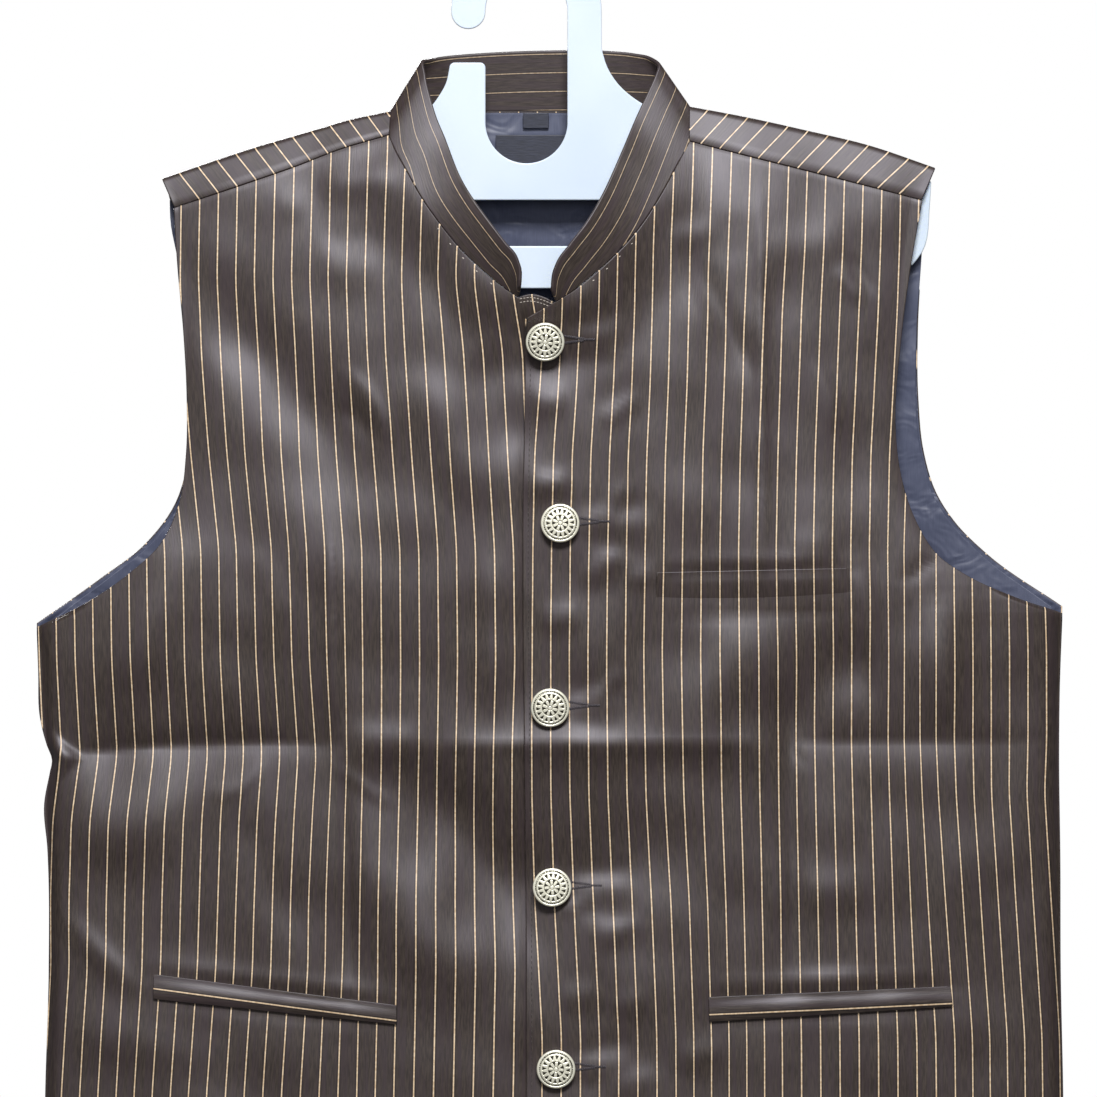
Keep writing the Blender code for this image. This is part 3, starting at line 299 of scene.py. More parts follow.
# A tuck at the wearer's right side, where the packing crease meets the side seam: two facets meet on a ridge
# that runs from the seam to a point on the front, and the outer creases end at the top and foot
TUCK_SEAM, TUCK_POINT = At(-265.6, 441.3), At(-249.5, 441.8)
TUCK_TOP, TUCK_FOOT = At(-272.5, 420.0), At(-271.0, 467.0)
TUCK_RISE = 6.0
BACK_FOLDS = [Fold(*row) for row in [
    (-150.0, 170.0, -40.0, 330.0, 22.0, 3.2, 8.0),
    (176.0, 160.0, 70.0, 340.0, 24.0, 3.0, -8.0),
    (-262.0, 440.0, 292.0, 434.0, 10.0, -2.2, 0.0, 1),
    (-210.0, 470.0, -70.0, 640.0, 24.0, 3.4, 10.0),
    (220.0, 468.0, 96.0, 620.0, 22.0, 3.0, -9.0),
    (10.0, 470.0, 24.0, 700.0, 20.0, 2.4, 5.0),
    (-60.0, 110.0, 70.0, 112.0, 14.0, -1.6),
    (150.0, 640.0, 214.0, 770.0, 20.0, 2.4),
]]

# The collar's free edge, paired with stations along the neck seam from the wearer's right front to the left
Band = namedtuple("Band", "run seam_across seam_down free_across free_down free_depth")
COLLAR = [Band(*row) for row in [
    ("right", -5.2, 184.4, -3.8, 177.6, -41.0),
    ("right", -8.2, 182.4, -3.4, 170.6, -41.5),
    ("right", -12.9, 179.4, -5.0, 164.0, -41.8),
    ("right", -25.2, 169.4, -12.4, 153.8, -41.5),
    ("right", -37.4, 157.4, -21.6, 141.6, -39.0),
    ("right", -47.8, 144.6, -30.2, 129.6, -34.2),
    ("right", -59.0, 128.8, -38.6, 114.8, -25.4),
    ("right", -67.4, 113.7, -46.2, 95.0, -14.5),
    ("right", -74.6, 100.4, -52.6, 78.6, -9.0),
    ("turn", -77.4, 93.4, -56.2, 65.4, -5.4),
    ("turn", -77.0, 84.2, -57.6, 57.4, -2.6),
    ("back", -76.9, 79.4, -58.6, 51.8, 0.6),
    ("back", -70.5, 78.9, -54.6, 50.0, 7.4),
    ("back", -56.0, 78.5, -45.8, 48.2, 12.0),
    ("back", -34.0, 78.2, -29.0, 46.6, 14.6),
    ("back", 8.0, 78.0, 8.0, 44.9, 15.8),
    ("back", 48.0, 77.9, 43.6, 45.0, 14.6),
    ("back", 71.0, 77.6, 60.6, 46.6, 12.0),
    ("back", 86.6, 77.2, 70.2, 49.2, 7.0),
    ("back", 92.4, 77.0, 74.6, 53.2, 0.6),
    ("turn", 92.0, 84.0, 73.2, 58.6, -2.6),
    ("turn", 91.8, 96.8, 69.6, 67.0, -5.4),
    ("left", 85.0, 109.8, 62.0, 83.6, -11.0),
    ("left", 74.9, 128.4, 53.2, 104.6, -23.4),
    ("left", 61.4, 148.4, 42.6, 128.0, -34.6),
    ("left", 49.7, 161.2, 33.8, 143.0, -41.0),
    ("left", 37.4, 172.5, 24.4, 155.4, -43.6),
    ("left", 26.0, 181.6, 17.0, 166.4, -44.0),
    ("left", 21.0, 184.9, 15.0, 173.0, -43.6),
    ("left", 17.4, 187.0, 14.6, 180.2, -43.0),
]]
SEAM_SETBACK = 1.4
SEAM_INSET = 0.9
NECK_AXIS = np.array([8.0, -4.0, -110.0])

# lines: how far down from the top edge a stripe runs at its start and its end, or nothing where the welt's
# stripes match the front's
Welt = namedtuple("Welt", "name hand top_start top_end bottom_end bottom_start gape tilt lines",
                  defaults=(None,))
WELTS = [Welt(*row) for row in [
    ("chest_welt", "left", At(73.2, 338.2), At(180.2, 335.8), At(180.7, 357.8), At(72.6, 360.6), 1.0, -3.0),
    ("lower_welt_right", "right", At(-208.5, 563.4), At(-73.0, 580.2), At(-73.0, 590.2), At(-208.5, 576.4),
     0.3, 0.7, (7.6, 8.2)),
    ("lower_welt_left", "left", At(102.3, 575.7), At(237.3, 570.1), At(238.4, 580.6), At(102.9, 588.8),
     0.3, 0.7, (9.4, 9.2)),
]]
WELT_STAND = 2.0  # from the panel's middle to the welt's

# pull is how far past a button's middle the cloth's small pulls reach, and lean is how much lower they end
Button = namedtuple("Button", "across down tip turn pull lean")
BUTTONS = [Button(*row) for row in [
    (10.5, 208.9, 8.0, 10.0, 44.0, -3.0),
    (18.9, 310.5, -4.0, 47.0, 52.0, 2.0),
    (13.3, 413.3, 3.0, 5.0, 40.0, -1.0),
    (14.4, 514.1, -3.0, 28.0, 47.0, 3.0),
    (16.6, 615.4, 2.0, 63.0, 42.0, -2.0),
]]
SHANK_DIAMETER = 3.6
BUTTON_STAND = 0.45
PULL_START = 9.0
# A ridge over the buttonhole with a hollow at each side: down at its start and its end, half width and rise
PULLS = ((-1.0, -1.0, 6.0, 0.9), (-8.0, -15.0, 6.0, -0.8), (8.0, 16.0, 6.5, -0.8))

SIZE_TAG = (At(-1.6, 79.6), At(12.2, 87.6))
NECK_LABEL = (At(-17.0, 92.0), At(31.0, 114.0))
LABEL_REACH = (36.0, 26.0)  # a label clears the lining this far across from the middle, and past its ends

# Where the woven stripes run on each front: the across position of numbered stripes at a height. The columns
# are the stripes' numbers, and the dart takes up the cloth between two of them.
GRAIN_COLUMNS = {"right": (-20, -15, -10, -5, -2, 0, 5), "left": (-6, 0, 6, 12, 15, 21)}
GRAIN = {
    "right": [
        (101.0, (-286.9, -234.8, -182.7, -130.1, -99.0, -77.7, -27.0)),
        (174.0, (-288.0, -235.9, -183.8, -131.5, -100.7, -80.0, -29.0)),
        (213.4, (-286.3, -234.3, -182.2, -129.2, -99.3, -78.8, -24.3)),
        (272.2, (-280.2, -228.7, -177.7, -127.1, -96.0, -74.7, -21.2)),
        (324.8, (-274.6, -222.7, -172.1, -122.8, -92.0, -70.6, -17.8)),
        (387.0, (-273.6, -221.6, -171.2, -121.1, -91.5, -70.2, -17.2)),
        (440.2, (-271.2, -219.1, -168.4, -117.5, -91.4, -70.6, -18.4)),
        (476.6, (-275.7, -223.6, -171.2, -119.7, -92.2, -71.7, -18.6)),
        (521.4, (-277.4, -225.0, -172.6, -121.7, -92.8, -72.6, -18.4)),
        (559.4, (-276.8, -225.6, -173.8, -122.2, -93.4, -72.6, -17.4)),
        (631.7, (-281.3, -230.0, -179.1, -126.6, -94.9, -74.2, -18.6)),
        (779.0, (-283.5, -232.0, -181.0, -128.4, -97.0, -76.3, -21.4)),
    ],
    "left": [
        (101.0, (22.2, 83.0, 147.4, 210.4, 241.8, 304.5)),
        (154.6, (21.1, 80.8, 145.4, 209.2, 240.1, 302.2)),
        (193.8, (20.0, 80.4, 143.1, 207.8, 238.4, 300.0)),
        (233.0, (18.0, 79.4, 141.9, 205.6, 235.6, 296.6)),
        (272.2, (15.2, 77.7, 140.6, 203.4, 232.2, 293.3)),
        (324.8, (14.1, 76.8, 139.6, 202.3, 229.4, 289.9)),
        (383.0, (13.7, 75.9, 140.6, 202.9, 229.2, 291.5)),
        (431.8, (13.6, 76.8, 140.7, 202.6, 229.4, 291.6)),
        (461.4, (13.7, 77.4, 141.1, 203.3, 230.7, 290.5)),
        (520.2, (15.7, 80.8, 142.1, 205.2, 234.6, 293.9)),
        (598.6, (19.6, 83.7, 143.1, 207.8, 240.1, 298.9)),
        (779.0, (18.9, 84.0, 143.8, 209.3, 241.8, 301.2)),
    ],
}
BACK_STRIPES = ((-204.0, -76.8, 92.0, 229.0), (-0.87, 11.15, 27.13, 39.3))  # across, and the stripe's number
BACK_CENTRE_STRIPE = 19.14
BACK_EVEN = (120.0, 160.0)  # start and length of the drop over which the back's stripes turn even
STRIP_LEAN = {"right": 0.63, "left": 0.79}  # how the shoulder strips' stripes lean, as across for each down
COLLAR_STRIPES = {"outer": 4.3, "inner": 1.2}  # first stripe below the free edge

ROOM_LIGHT = 0.115  # the studio's own light on the cloth, against the white that the camera sees


# ---------------------------------------------------------------- curves and tables

def shares(cells):
    return np.linspace(0.0, 1.0, cells + 1)


def held(value):
    """The value kept between 0 and 1."""
    return np.clip(value, 0.0, 1.0)


def eased(value):
    """0 to 1 with a soft start and end."""
    value = held(value)
    return value * value * (3 - 2 * value)


def between(start, end, share):
    return (1 - share) * start + share * end


def unit(vectors):
    """The same vectors at length 1."""
    return vectors / np.maximum(np.linalg.norm(vectors, axis=-1, keepdims=True), 1e-9)


def through(stations, values, at):
    """A smooth curve through a table's rows, so that no row shows as a kink."""
    stations, values = np.asarray(stations, float), np.asarray(values, float)
    slopes = np.gradient(values, stations)
    at = np.clip(at, stations[0], stations[-1])
    row = np.clip(np.searchsorted(stations, at, side="right") - 1, 0, len(stations) - 2)
    span = stations[row + 1] - stations[row]
    t = (at - stations[row]) / span
    return (values[row] * (1 + 2 * t) * (1 - t) ** 2 + slopes[row] * span * t * (1 - t) ** 2
            + values[row + 1] * t * t * (3 - 2 * t) + slopes[row + 1] * span * t * t * (t - 1))


def across_at(outline, down):
    """Where an outline is across at a height."""
    return through([place.down for place in outline], [place.across for place in outline], down)


def section(column, down):
    """One column of SECTIONS at a height."""
    return through([row.down for row in SECTIONS], [getattr(row, column) for row in SECTIONS], down)


def lengths(points):
    """Distance along an outline at each of its points."""
    steps = np.linalg.norm(np.diff(np.asarray(points, float), axis=0), axis=1)
    return np.concatenate([[0.0], np.cumsum(steps)])


def along(points, at):
    """Points at the given shares of an outline's length."""
    points = np.asarray(points, float)
    length = lengths(points)
    return np.stack([through(length, axis, np.asarray(at) * length[-1]) for axis in points.T], axis=1)


def joined(*runs):
    """Outline points of several curves. Each one starts at the last one's end, and the corners stay sharp."""
    pieces = [along(points, shares(cells)) for points, cells in runs]
    return np.concatenate([pieces[0]] + [piece[1:] for piece in pieces[1:]])


def fold_rise(folds, across, down):
    """Height that the folds add: each is a ridge or trough that dies away at its sides and its ends."""
    total = np.zeros_like(across)
    for fold in folds:
        run = np.array([fold.to_across - fold.across, fold.to_down - fold.down])
        length = np.linalg.norm(run)
        run = run / length
        x, y = across - fold.across, down - fold.down
        t = 2 * (x * run[0] + y * run[1]) / length - 1
        reach = (x * run[1] - y * run[0] - fold.bow * (1 - t * t)) / fold.half_width
        if fold.sharp:
            reach = np.sqrt(np.abs(reach) + 0.02) * 1.1
        total = total + fold.rise * np.exp(-reach ** 2 - 1.5 * t ** 4)
    return total


def side_tuck(across, down):
    """Share of the tuck's rise: 1 where its ridge meets the seam, 0 at its point and its outer creases."""
    def facet(corner):
        run = np.array(TUCK_POINT) - corner
        off = run[0] * (down - corner.down) - run[1] * (across - corner.across)
        return off / (run[0] * (TUCK_SEAM.down - corner.down) - run[1] * (TUCK_SEAM.across - corner.across))

    return held(np.minimum(facet(TUCK_TOP), facet(TUCK_FOOT)))


def uneven(across, down, seed, spacing):
    """A soft, seeded unevenness between about -1 and 1, whose waves are roughly the given spacing long."""
    dice = np.random.default_rng(seed)
    total = np.zeros_like(across)
    for _ in range(7):
        angle, phase = dice.uniform(0.0, pi), dice.uniform(0.0, 2 * pi)
        wave = spacing * dice.uniform(0.6, 1.7)
        total = total + np.sin(2 * pi * (across * cos(angle) + down * sin(angle)) / wave + phase)
    return total / 3.5


# ---------------------------------------------------------------- the garment's form

def outer_edge(hand, wall, down):
    """Across position of the garment's outer edge at a height: the side seam, and the armhole over it."""
    armhole = (ARMHOLE if wall == "front" else BACK_ARMHOLE)[hand]
    return np.where(down < armhole[-1].down, across_at(armhole, down), across_at(SIDE[hand], down))


def form_edge(hand, wall, down):
    """Outer edge that the form follows: it runs ahead of the armhole, so that its base shows no step."""
    return np.mean([outer_edge(hand, wall, down + FORM_AHEAD * ahead) for ahead in shares(8)], axis=0)


def puckers():
    """Small pulls beside each button: a ridge over its buttonhole with a hollow at each side."""
    return [Fold(row.across + PULL_START, row.down + start, row.across + row.pull, row.down + end + row.lean,
                 width, rise) for row in BUTTONS for start, end, width, rise in PULLS]


def depth(wall, across, down):
    """Distance of the front's or the back's wall from the hanger's plane."""
    front = wall == "front"
    right, left = form_edge("right", wall, down), form_edge("left", wall, down)
    reach = np.where(across < CENTRE, CENTRE - right, left - CENTRE)
    share = held(np.abs(across - CENTRE) / reach)
    roll = section("side_roll", down)
    shape = (1 - roll) * (1 - share ** BULGE) + roll * np.sqrt(1 - share ** ROLL_POWER)
    edge = np.maximum(section(wall + "_edge", down), SIDE_EDGE)
    folds = fold_rise(FRONT_FOLDS + puckers() if front else BACK_FOLDS, across, down)
    for n, (height, stretch, spacing) in enumerate(WAVES):
        folds = folds + height * uneven(across, stretch * down, WAVE_SEED[wall] + n, spacing)
    tuck = side_tuck(across, down) * (1 - share ** TUCK_FADE) if front else 0.0
    inside = (1 - share ** FOLDS_FADE) * held(reach / FULL_REACH)
    return edge + (section(wall, down) - edge) * shape + folds * inside * (1 - tuck) ** 4 + TUCK_RISE * tuck


def seamed(depths, plan, hand):
    """Depths of a wall that meets the other one at the side seam. Its last column is the outer edge."""
    below = eased((plan[:, -1:, 1] - ARMHOLE_BASE[hand] + SIDE_SEAM_START) / SIDE_SEAM_START)
    near = below * np.exp(-((plan[..., 0] - plan[:, -1:, 0]) / SIDE_SEAM_REACH) ** 2)
    return between(depths, SIDE_SEAM, near)


def front_depth(hand, across, down):
    """Depth of a front panel, with the left one lapped over the right one."""
    across, down = np.asarray(across, float), np.asarray(down, float)
    base = depth("front", across, down)
    if hand == "right":
        edge = across_at(FRONT_EDGE["left"], down) + 0.6
        dip = np.exp(-((across - edge) / LAP_DIP_REACH) ** 2) * eased((down - NECK_BASE) / LAP_DIP_START)
        return base - LAP_DIP * dip
    corner = FRONT_EDGE["left"][0]
    curl = np.exp(-((across - corner.across) ** 2 + (down - corner.down) ** 2) / CORNER_REACH ** 2)
    lap = 1 - eased((across - OVERLAP - LAP_EASE[0]) / LAP_EASE[1])
    return base + CORNER_CURL * curl + (mm("suiting") + LAP_GAP) * lap


def to_points(plan, distance):
    """Grid points in the object's frame: plan holds across and down, and distance is towards +Y."""
    return np.stack([plan[..., 0], distance, -plan[..., 1]], axis=-1)


def front_plan(hand):
    """Across and down of a front panel's grid, from the shoulder seam (row 0) to the hem."""
    edge = along(FRONT_EDGE[hand], np.linspace(0.0, 1.0, 400))
    above, below = edge[edge[:, 1] <= ARMHOLE_BASE[hand]], edge[edge[:, 1] >= ARMHOLE_BASE[hand]]
    if hand == "left":
        top = [([NECK[hand][-1], FRONT_EDGE[hand][0]], CORNER_ROWS), (above, UPPER_ROWS)]
    else:
        top = [(above, UPPER_ROWS + CORNER_ROWS)]
    inner = joined((NECK[hand], NECK_ROWS), *top, (below, BODY_ROWS))
    chest = NECK_ROWS + CORNER_ROWS + UPPER_ROWS
    outer = joined((ARMHOLE[hand], chest), (SIDE[hand], BODY_ROWS))
    even, row = shares(FRONT_COLUMNS), np.arange(len(inner))
    seam = along(SHOULDER_SEAM[hand][::-1], even)
    plan = between(inner[:, None], outer[:, None], even[None, :, None])
    plan += held(1 - row / chest)[:, None, None] ** 1.5 * (seam - np.linspace(seam[0], seam[-1], len(even)))
    plan[..., 1] += held((row - chest) / BODY_ROWS)[:, None] * HEM_DIP * (1 - even ** 2)
    # Columns crowd towards the outer edge, where the side rolls under.
    roll = 1 - ROLL_SHARE * np.linspace(1.0, 0.0, ROLL_COLUMNS) ** 1.6
    at = np.concatenate([np.linspace(0.0, 1 - ROLL_SHARE, len(even) - ROLL_COLUMNS + 1)[:-1], roll])
    return np.stack([[np.interp(at, even, line[:, axis]) for line in plan] for axis in range(2)], axis=-1)


def front_points(hand):
    """Plan and middle of a front, and which of its cells are cloth."""
    plan = front_plan(hand)
    near = [between(plan[:1], plan[1:2], share) for share in (0.2, 0.45)]
    plan, neck_row = np.concatenate([plan[:1]] + near + [plan[1:]]), NECK_ROWS + len(near)
    keep = np.ones((len(plan) - 1, plan.shape[1] - 1), bool)
    if hand == "right":
        lap = shares(LAP_COLUMNS)[:0:-1]
        strip = np.repeat(plan[:, :1], LAP_COLUMNS, axis=1)
        strip[..., 0] += (OVERLAP - plan[:, :1, 0]) * lap
        # The underlap's top edge slopes off behind the other front's collar.
        drop = through(*UNDERLAP_TOP, lap)
        for row in range(3):
            strip[neck_row + row, :, 1] += drop * (1 - row / 3)
        plan = np.concatenate([strip, plan], axis=1)
        keep = np.pad(keep, ((0, 0), (LAP_COLUMNS, 0)))
        keep[neck_row:, :LAP_COLUMNS] = True
    from_seam = np.linalg.norm(plan - plan[:1], axis=-1)
    tuck = SEAM_TUCK["front"] * np.exp(-(from_seam / SEAM_ROUND) ** 2)
    depths = seamed(front_depth(hand, plan[..., 0], plan[..., 1]), plan, hand)
    return plan, to_points(plan, tuck - depths), keep


def strip_rise(share):
    """Share of the seam's depth that a shoulder strip has gained at a share of its width from the fold."""
    turned = held(share / STRIP_TURN)
    return (1 - STRIP_SLOPE) * np.sqrt(1 - (1 - turned) ** 2) + STRIP_SLOPE * share


def neck_depth(across):
    """Depth of the back neck seam: 0 at the shoulder folds and full at the centre back."""
    right, left = SHOULDER_FOLD["right"][-1].across, SHOULDER_FOLD["left"][-1].across
    share = held(np.abs(across - 0.5 * (right + left)) / (0.5 * (left - right)))
    return NECK_DEPTH * np.sqrt(held(1 - share ** NECK_ROUND))


def denser(rows):
    """The same outline or grid with two more columns in its outermost cells, where the wall rolls."""
    cells = rows.shape[-2] - 1
    at = np.concatenate([[0.0, 0.2, 0.55], np.arange(1, cells), [cells - 0.55, cells - 0.2, cells]])
    low = np.clip(np.floor(at).astype(int), 0, cells - 1)
    return between(rows[..., low, :], rows[..., low + 1, :], (at - low)[:, None])


def back_plan():
    """Across and down of the back's grid below its shoulders' turn, and the line of the fold over them."""
    neckline = [SHOULDER_FOLD["right"][-1], *BACK_NECK, SHOULDER_FOLD["left"][-1]]
    closer = 0.5 - 0.5 * np.cos(pi * shares(BACK_NECK_CELLS))  # at the neck's tight corners
    fold = np.concatenate([along(SHOULDER_FOLD["right"], shares(SHOULDER_CELLS)),
                           along(neckline, closer)[1:-1],
                           along(SHOULDER_FOLD["left"][::-1], shares(SHOULDER_CELLS))])
    right, left = [joined((BACK_ARMHOLE[hand], BACK_CHEST_ROWS), (SIDE[hand], BACK_BODY_ROWS))
                   for hand in ("right", "left")]
    top = fold + [0.0, TURN_DROP]
    top[0], top[-1] = right[0], left[0]
    share, row = np.linspace(0.0, 1.0, len(top)), np.arange(len(right))
    # Columns start where the shoulders set them and spread out evenly by the armhole's base.
    top_share = (top[:, 0] - top[0, 0]) / (top[-1, 0] - top[0, 0])
    even = held(row / BACK_CHEST_ROWS)[:, None]
    plan = between(right[:, None], left[:, None], between(top_share, share, even)[..., None])
    plan[..., 1] += (1 - even) ** 1.5 * (top[:, 1] - between(top[0, 1], top[-1, 1], top_share))
    fall = held((row - BACK_CHEST_ROWS) / BACK_BODY_ROWS)[:, None]
    plan[..., 1] += fall * HEM_DIP * (1 - (2 * share - 1) ** 2)
    return denser(plan), denser(fold)


def back_points():
    """Plan and middle of the back, and which of its cells are cloth.

    Its rows run from the front seams over the shoulder folds, then round the turn, and then down the body."""
    plan, fold = back_plan()
    wall = seamed(depth("back", plan[..., 0], plan[..., 1]), plan, "left")
    body = to_points(plan, seamed(wall[:, ::-1], plan[:, ::-1], "right")[:, ::-1])
    crest = np.zeros(len(fold))
    crest[STRIP_CELLS:-STRIP_CELLS] = neck_depth(fold[STRIP_CELLS:-STRIP_CELLS, 0])
    angles = 0.5 * pi * shares(WRAP_ROWS)[:0:-1]
    first = body[0]
    turn_plan = np.stack([np.stack([between(first[:, 0], fold[:, 0], a / (0.5 * pi)),
                                    between(-first[:, 2], fold[:, 1], sin(a))], axis=-1) for a in angles])
    turn = to_points(turn_plan, np.stack([between(crest, first[:, 1], cos(a)) for a in angles]))
    seam_right = along(SHOULDER_SEAM["right"], shares(SHOULDER_CELLS))
    seam = denser(np.concatenate([seam_right, np.repeat(seam_right[-1:], BACK_NECK_CELLS - 1, axis=0),
                                  along(SHOULDER_SEAM["left"][::-1], shares(SHOULDER_CELLS))]))
    seam_depth = np.where(seam[:, 0] < CENTRE, front_depth("right", *seam.T), front_depth("left", *seam.T))
    over_plan = np.stack([between(fold, seam - [0.0, SEAM_GAP], 1 - cos(a)) for a in angles])
    from_seam = np.linalg.norm(over_plan - over_plan[:1], axis=-1)
    tuck = SEAM_TUCK["strip"] * np.exp(-(from_seam / SEAM_ROUND) ** 2)
    rise = np.stack([(seam_depth + STRIP_PROUD) * strip_rise(1 - cos(a)) for a in angles])
    over = to_points(over_plan, tuck - rise)
    keep = np.ones((2 * WRAP_ROWS + len(plan) - 1, len(fold) - 1), bool)
    keep[:WRAP_ROWS, STRIP_CELLS:STRIP_CELLS + BACK_NECK_CELLS] = False
    return np.concatenate([over_plan, turn_plan, plan]), np.concatenate([over, turn, body]), keep


def grid_normals(points, keep):
    """Unit normals of a grid's points, from the faces that are cloth."""
    a, b, c, d = points[:-1, :-1], points[1:, :-1], points[1:, 1:], points[:-1, 1:]
    face = np.cross(c - a, d - b) * keep[..., None]
    normal = np.zeros_like(points)
    for part in (normal[:-1, :-1], normal[1:, :-1], normal[1:, 1:], normal[:-1, 1:]):
        part += face
    return unit(normal)


def lining_points():
    """The back's lining: inside the back wall, short of the side seams and ended under the shoulders."""
    plan, points, keep = back_points()
    kept = np.s_[WRAP_ROWS + LINING_SKIP:, LINING_INSET:-LINING_INSET]
    facing = grid_normals(points, keep)
    facing *= np.sign(facing[..., 1:2] + 1e-9)
    points = (points - facing * (0.5 * mm("suiting") + GAP + 0.5 * mm("lining")))[kept]
    across, down = points[..., 0], -points[..., 2]
    wrinkles = sum(uneven(across, down, seed, spacing) for seed, spacing in LINING_WAVES)
    points[..., 1] -= LINING_WRINKLE * np.clip(wrinkles + 1.0, 0.0, 3.0) * held(points[..., 1] / LINING_FLAT)
    points[-1, :, 2] += LINING_HEM
    keep = keep[kept].copy()
    under_fold, shoulder = WRAP_ROWS - LINING_SKIP, STRIP_CELLS - LINING_INSET
    keep[:under_fold, :shoulder] = keep[:under_fold, shoulder + BACK_NECK_CELLS:] = False
    return plan[kept], points, keep


def strip_depth(row):
    """Depth of the shoulder strip's neck end at a collar station."""
    hand = "right" if row.seam_across < CENTRE else "left"
    top, corner = SHOULDER_FOLD[hand][-1].down, NECK[hand][0]
    return front_depth(hand, *corner) * strip_rise(held((row.seam_down - top) / (corner.down - top)))


def smoother(depths, window=15):
    """The same row of depths with small waves taken out where the band runs over the fronts."""
    soft = np.convolve(np.pad(depths, window, mode="edge"), np.hanning(2 * window + 1) / window, mode="valid")
    return between(depths, soft, held((-depths - 1.0) / 5.0))


def collar_points(columns=260, rows=12):
    """Middle of the band collar: columns run round the neck and rows from the seam to the free edge."""
    depths = [neck_depth(row.seam_across) if row.run == "back" else -strip_depth(row) if row.run == "turn"
              else -front_depth(row.run, row.seam_across, row.seam_down) for row in COLLAR]
    seam = np.array([(row.seam_across, float(at), -row.seam_down) for row, at in zip(COLLAR, depths)])
    free = np.array([(row.free_across, row.free_depth, -row.free_down) for row in COLLAR])
    length = lengths(seam)
    seam, free = [np.stack([through(length, axis, length[-1] * shares(columns)) for axis in curve.T], axis=1)
                  for curve in (seam, free)]
    seam[:, 1] = smoother(seam[:, 1])
    lean = unit(free - seam)
    inward = unit(np.cross(np.gradient(seam, axis=0), lean))
    inward *= np.sign(np.sum(inward * (NECK_AXIS - seam), axis=1, keepdims=True))
    clear = 1 - held(seam[:, 1:2] / NECK_DEPTH) * 0.6
    seam = seam + lean * SEAM_SETBACK * clear + inward * SEAM_INSET * clear ** 2
    return between(seam, free, shares(rows)[:, None, None])


# ---------------------------------------------------------------- how the stripes run

def stripe_uv(hand, plan):
    """Place on the cloth of a front: the number of the woven stripe, with the part between two stripes as a
    fraction, times the pitch; and the length down the cloth."""
    across, down = plan[..., 0], plan[..., 1]
    columns, heights = GRAIN_COLUMNS[hand], [row[0] for row in GRAIN[hand]]
    tracks = zip(*[row[1] for row in GRAIN[hand]])
    at = [sum(np.interp(down + shift, heights, track) for shift in (-5, 0, 5)) / 3 for track in tracks]
    number = np.full_like(across, float(columns[0]))
    for n in range(len(columns) - 1):
        part = (across - at[n]) / (at[n + 1] - at[n])
        part = np.clip(part, 0.0 if n else None, 1.0 if n < len(columns) - 2 else None)
        number = number + part * (columns[n + 1] - columns[n])
    return np.stack([number * mm("stripe_pitch"), down], axis=-1)


def back_uv(plan):
    """Place on the cloth of the back: the shoulders set the stripes at the top, and they are even from the
    chest down. Over the shoulder fold they lean outwards."""
    across, down = plan[..., 0], plan[..., 1]
    even = BACK_CENTRE_STRIPE + (across - CENTRE) / mm("stripe_pitch")
    number = between(np.interp(across, *BACK_STRIPES), even, eased((down - BACK_EVEN[0]) / BACK_EVEN[1]))
    for hand, outward in (("right", -1.0), ("left", 1.0)):
        fold = sorted(SHOULDER_FOLD[hand])
        line = np.interp(across, [place.across for place in fold], [place.down for place in fold])
        strip = (across - CENTRE) * outward > 0
        strip[WRAP_ROWS:] = False
        leant = np.interp(across + outward * STRIP_LEAN[hand] * (down - line), *BACK_STRIPES)
        number = np.where(strip, leant, number)
    return np.stack([number * mm("stripe_pitch"), down], axis=-1)


# ---------------------------------------------------------------- Blender objects

def sizes():
    return bpy.context.scene.jacket_sizes


def mm(size):
    """One of the sizes in millimetres."""
    return getattr(sizes(), size) / MM


def colours():
    return bpy.context.scene.jacket_colours


def finish_piece(obj, node):
    """Puts a finished piece on the body and in the place of its solid, with its record's finish."""
    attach(obj, "root")
    if node:
        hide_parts(node)
    return obj


def new_object(name, mesh, materials):
    for made in materials:
        mesh.materials.append(made)
    obj = bpy.data.objects.new(name, mesh)
    bpy.context.scene.collection.objects.link(obj)
    return obj


def guide_curve(name, paths, closed=False):
    """An object that holds paths of points in mm as one curve."""
    curve = bpy.data.curves.new(name, "CURVE")
    curve.dimensions = "3D"
    for path in paths:
        spline = curve.splines.new("POLY")
        spline.points.add(len(path) - 1)
        for target, point in zip(spline.points, path):
            target.co = (*(Vector(point) * MM), 1.0)
        spline.use_cyclic_u = closed
    guide = bpy.data.objects.new(name, curve)
    bpy.context.scene.collection.objects.link(guide)
    return guide


def plain_mesh(guide):
    """The mesh that a guide makes. The guide and its modifiers are taken away."""
    bpy.context.view_layer.update()
    mesh = bpy.data.meshes.new_from_object(guide.evaluated_get(bpy.context.evaluated_depsgraph_get()))
    guide.modifiers.clear()
    bpy.data.objects.remove(guide)
    return mesh


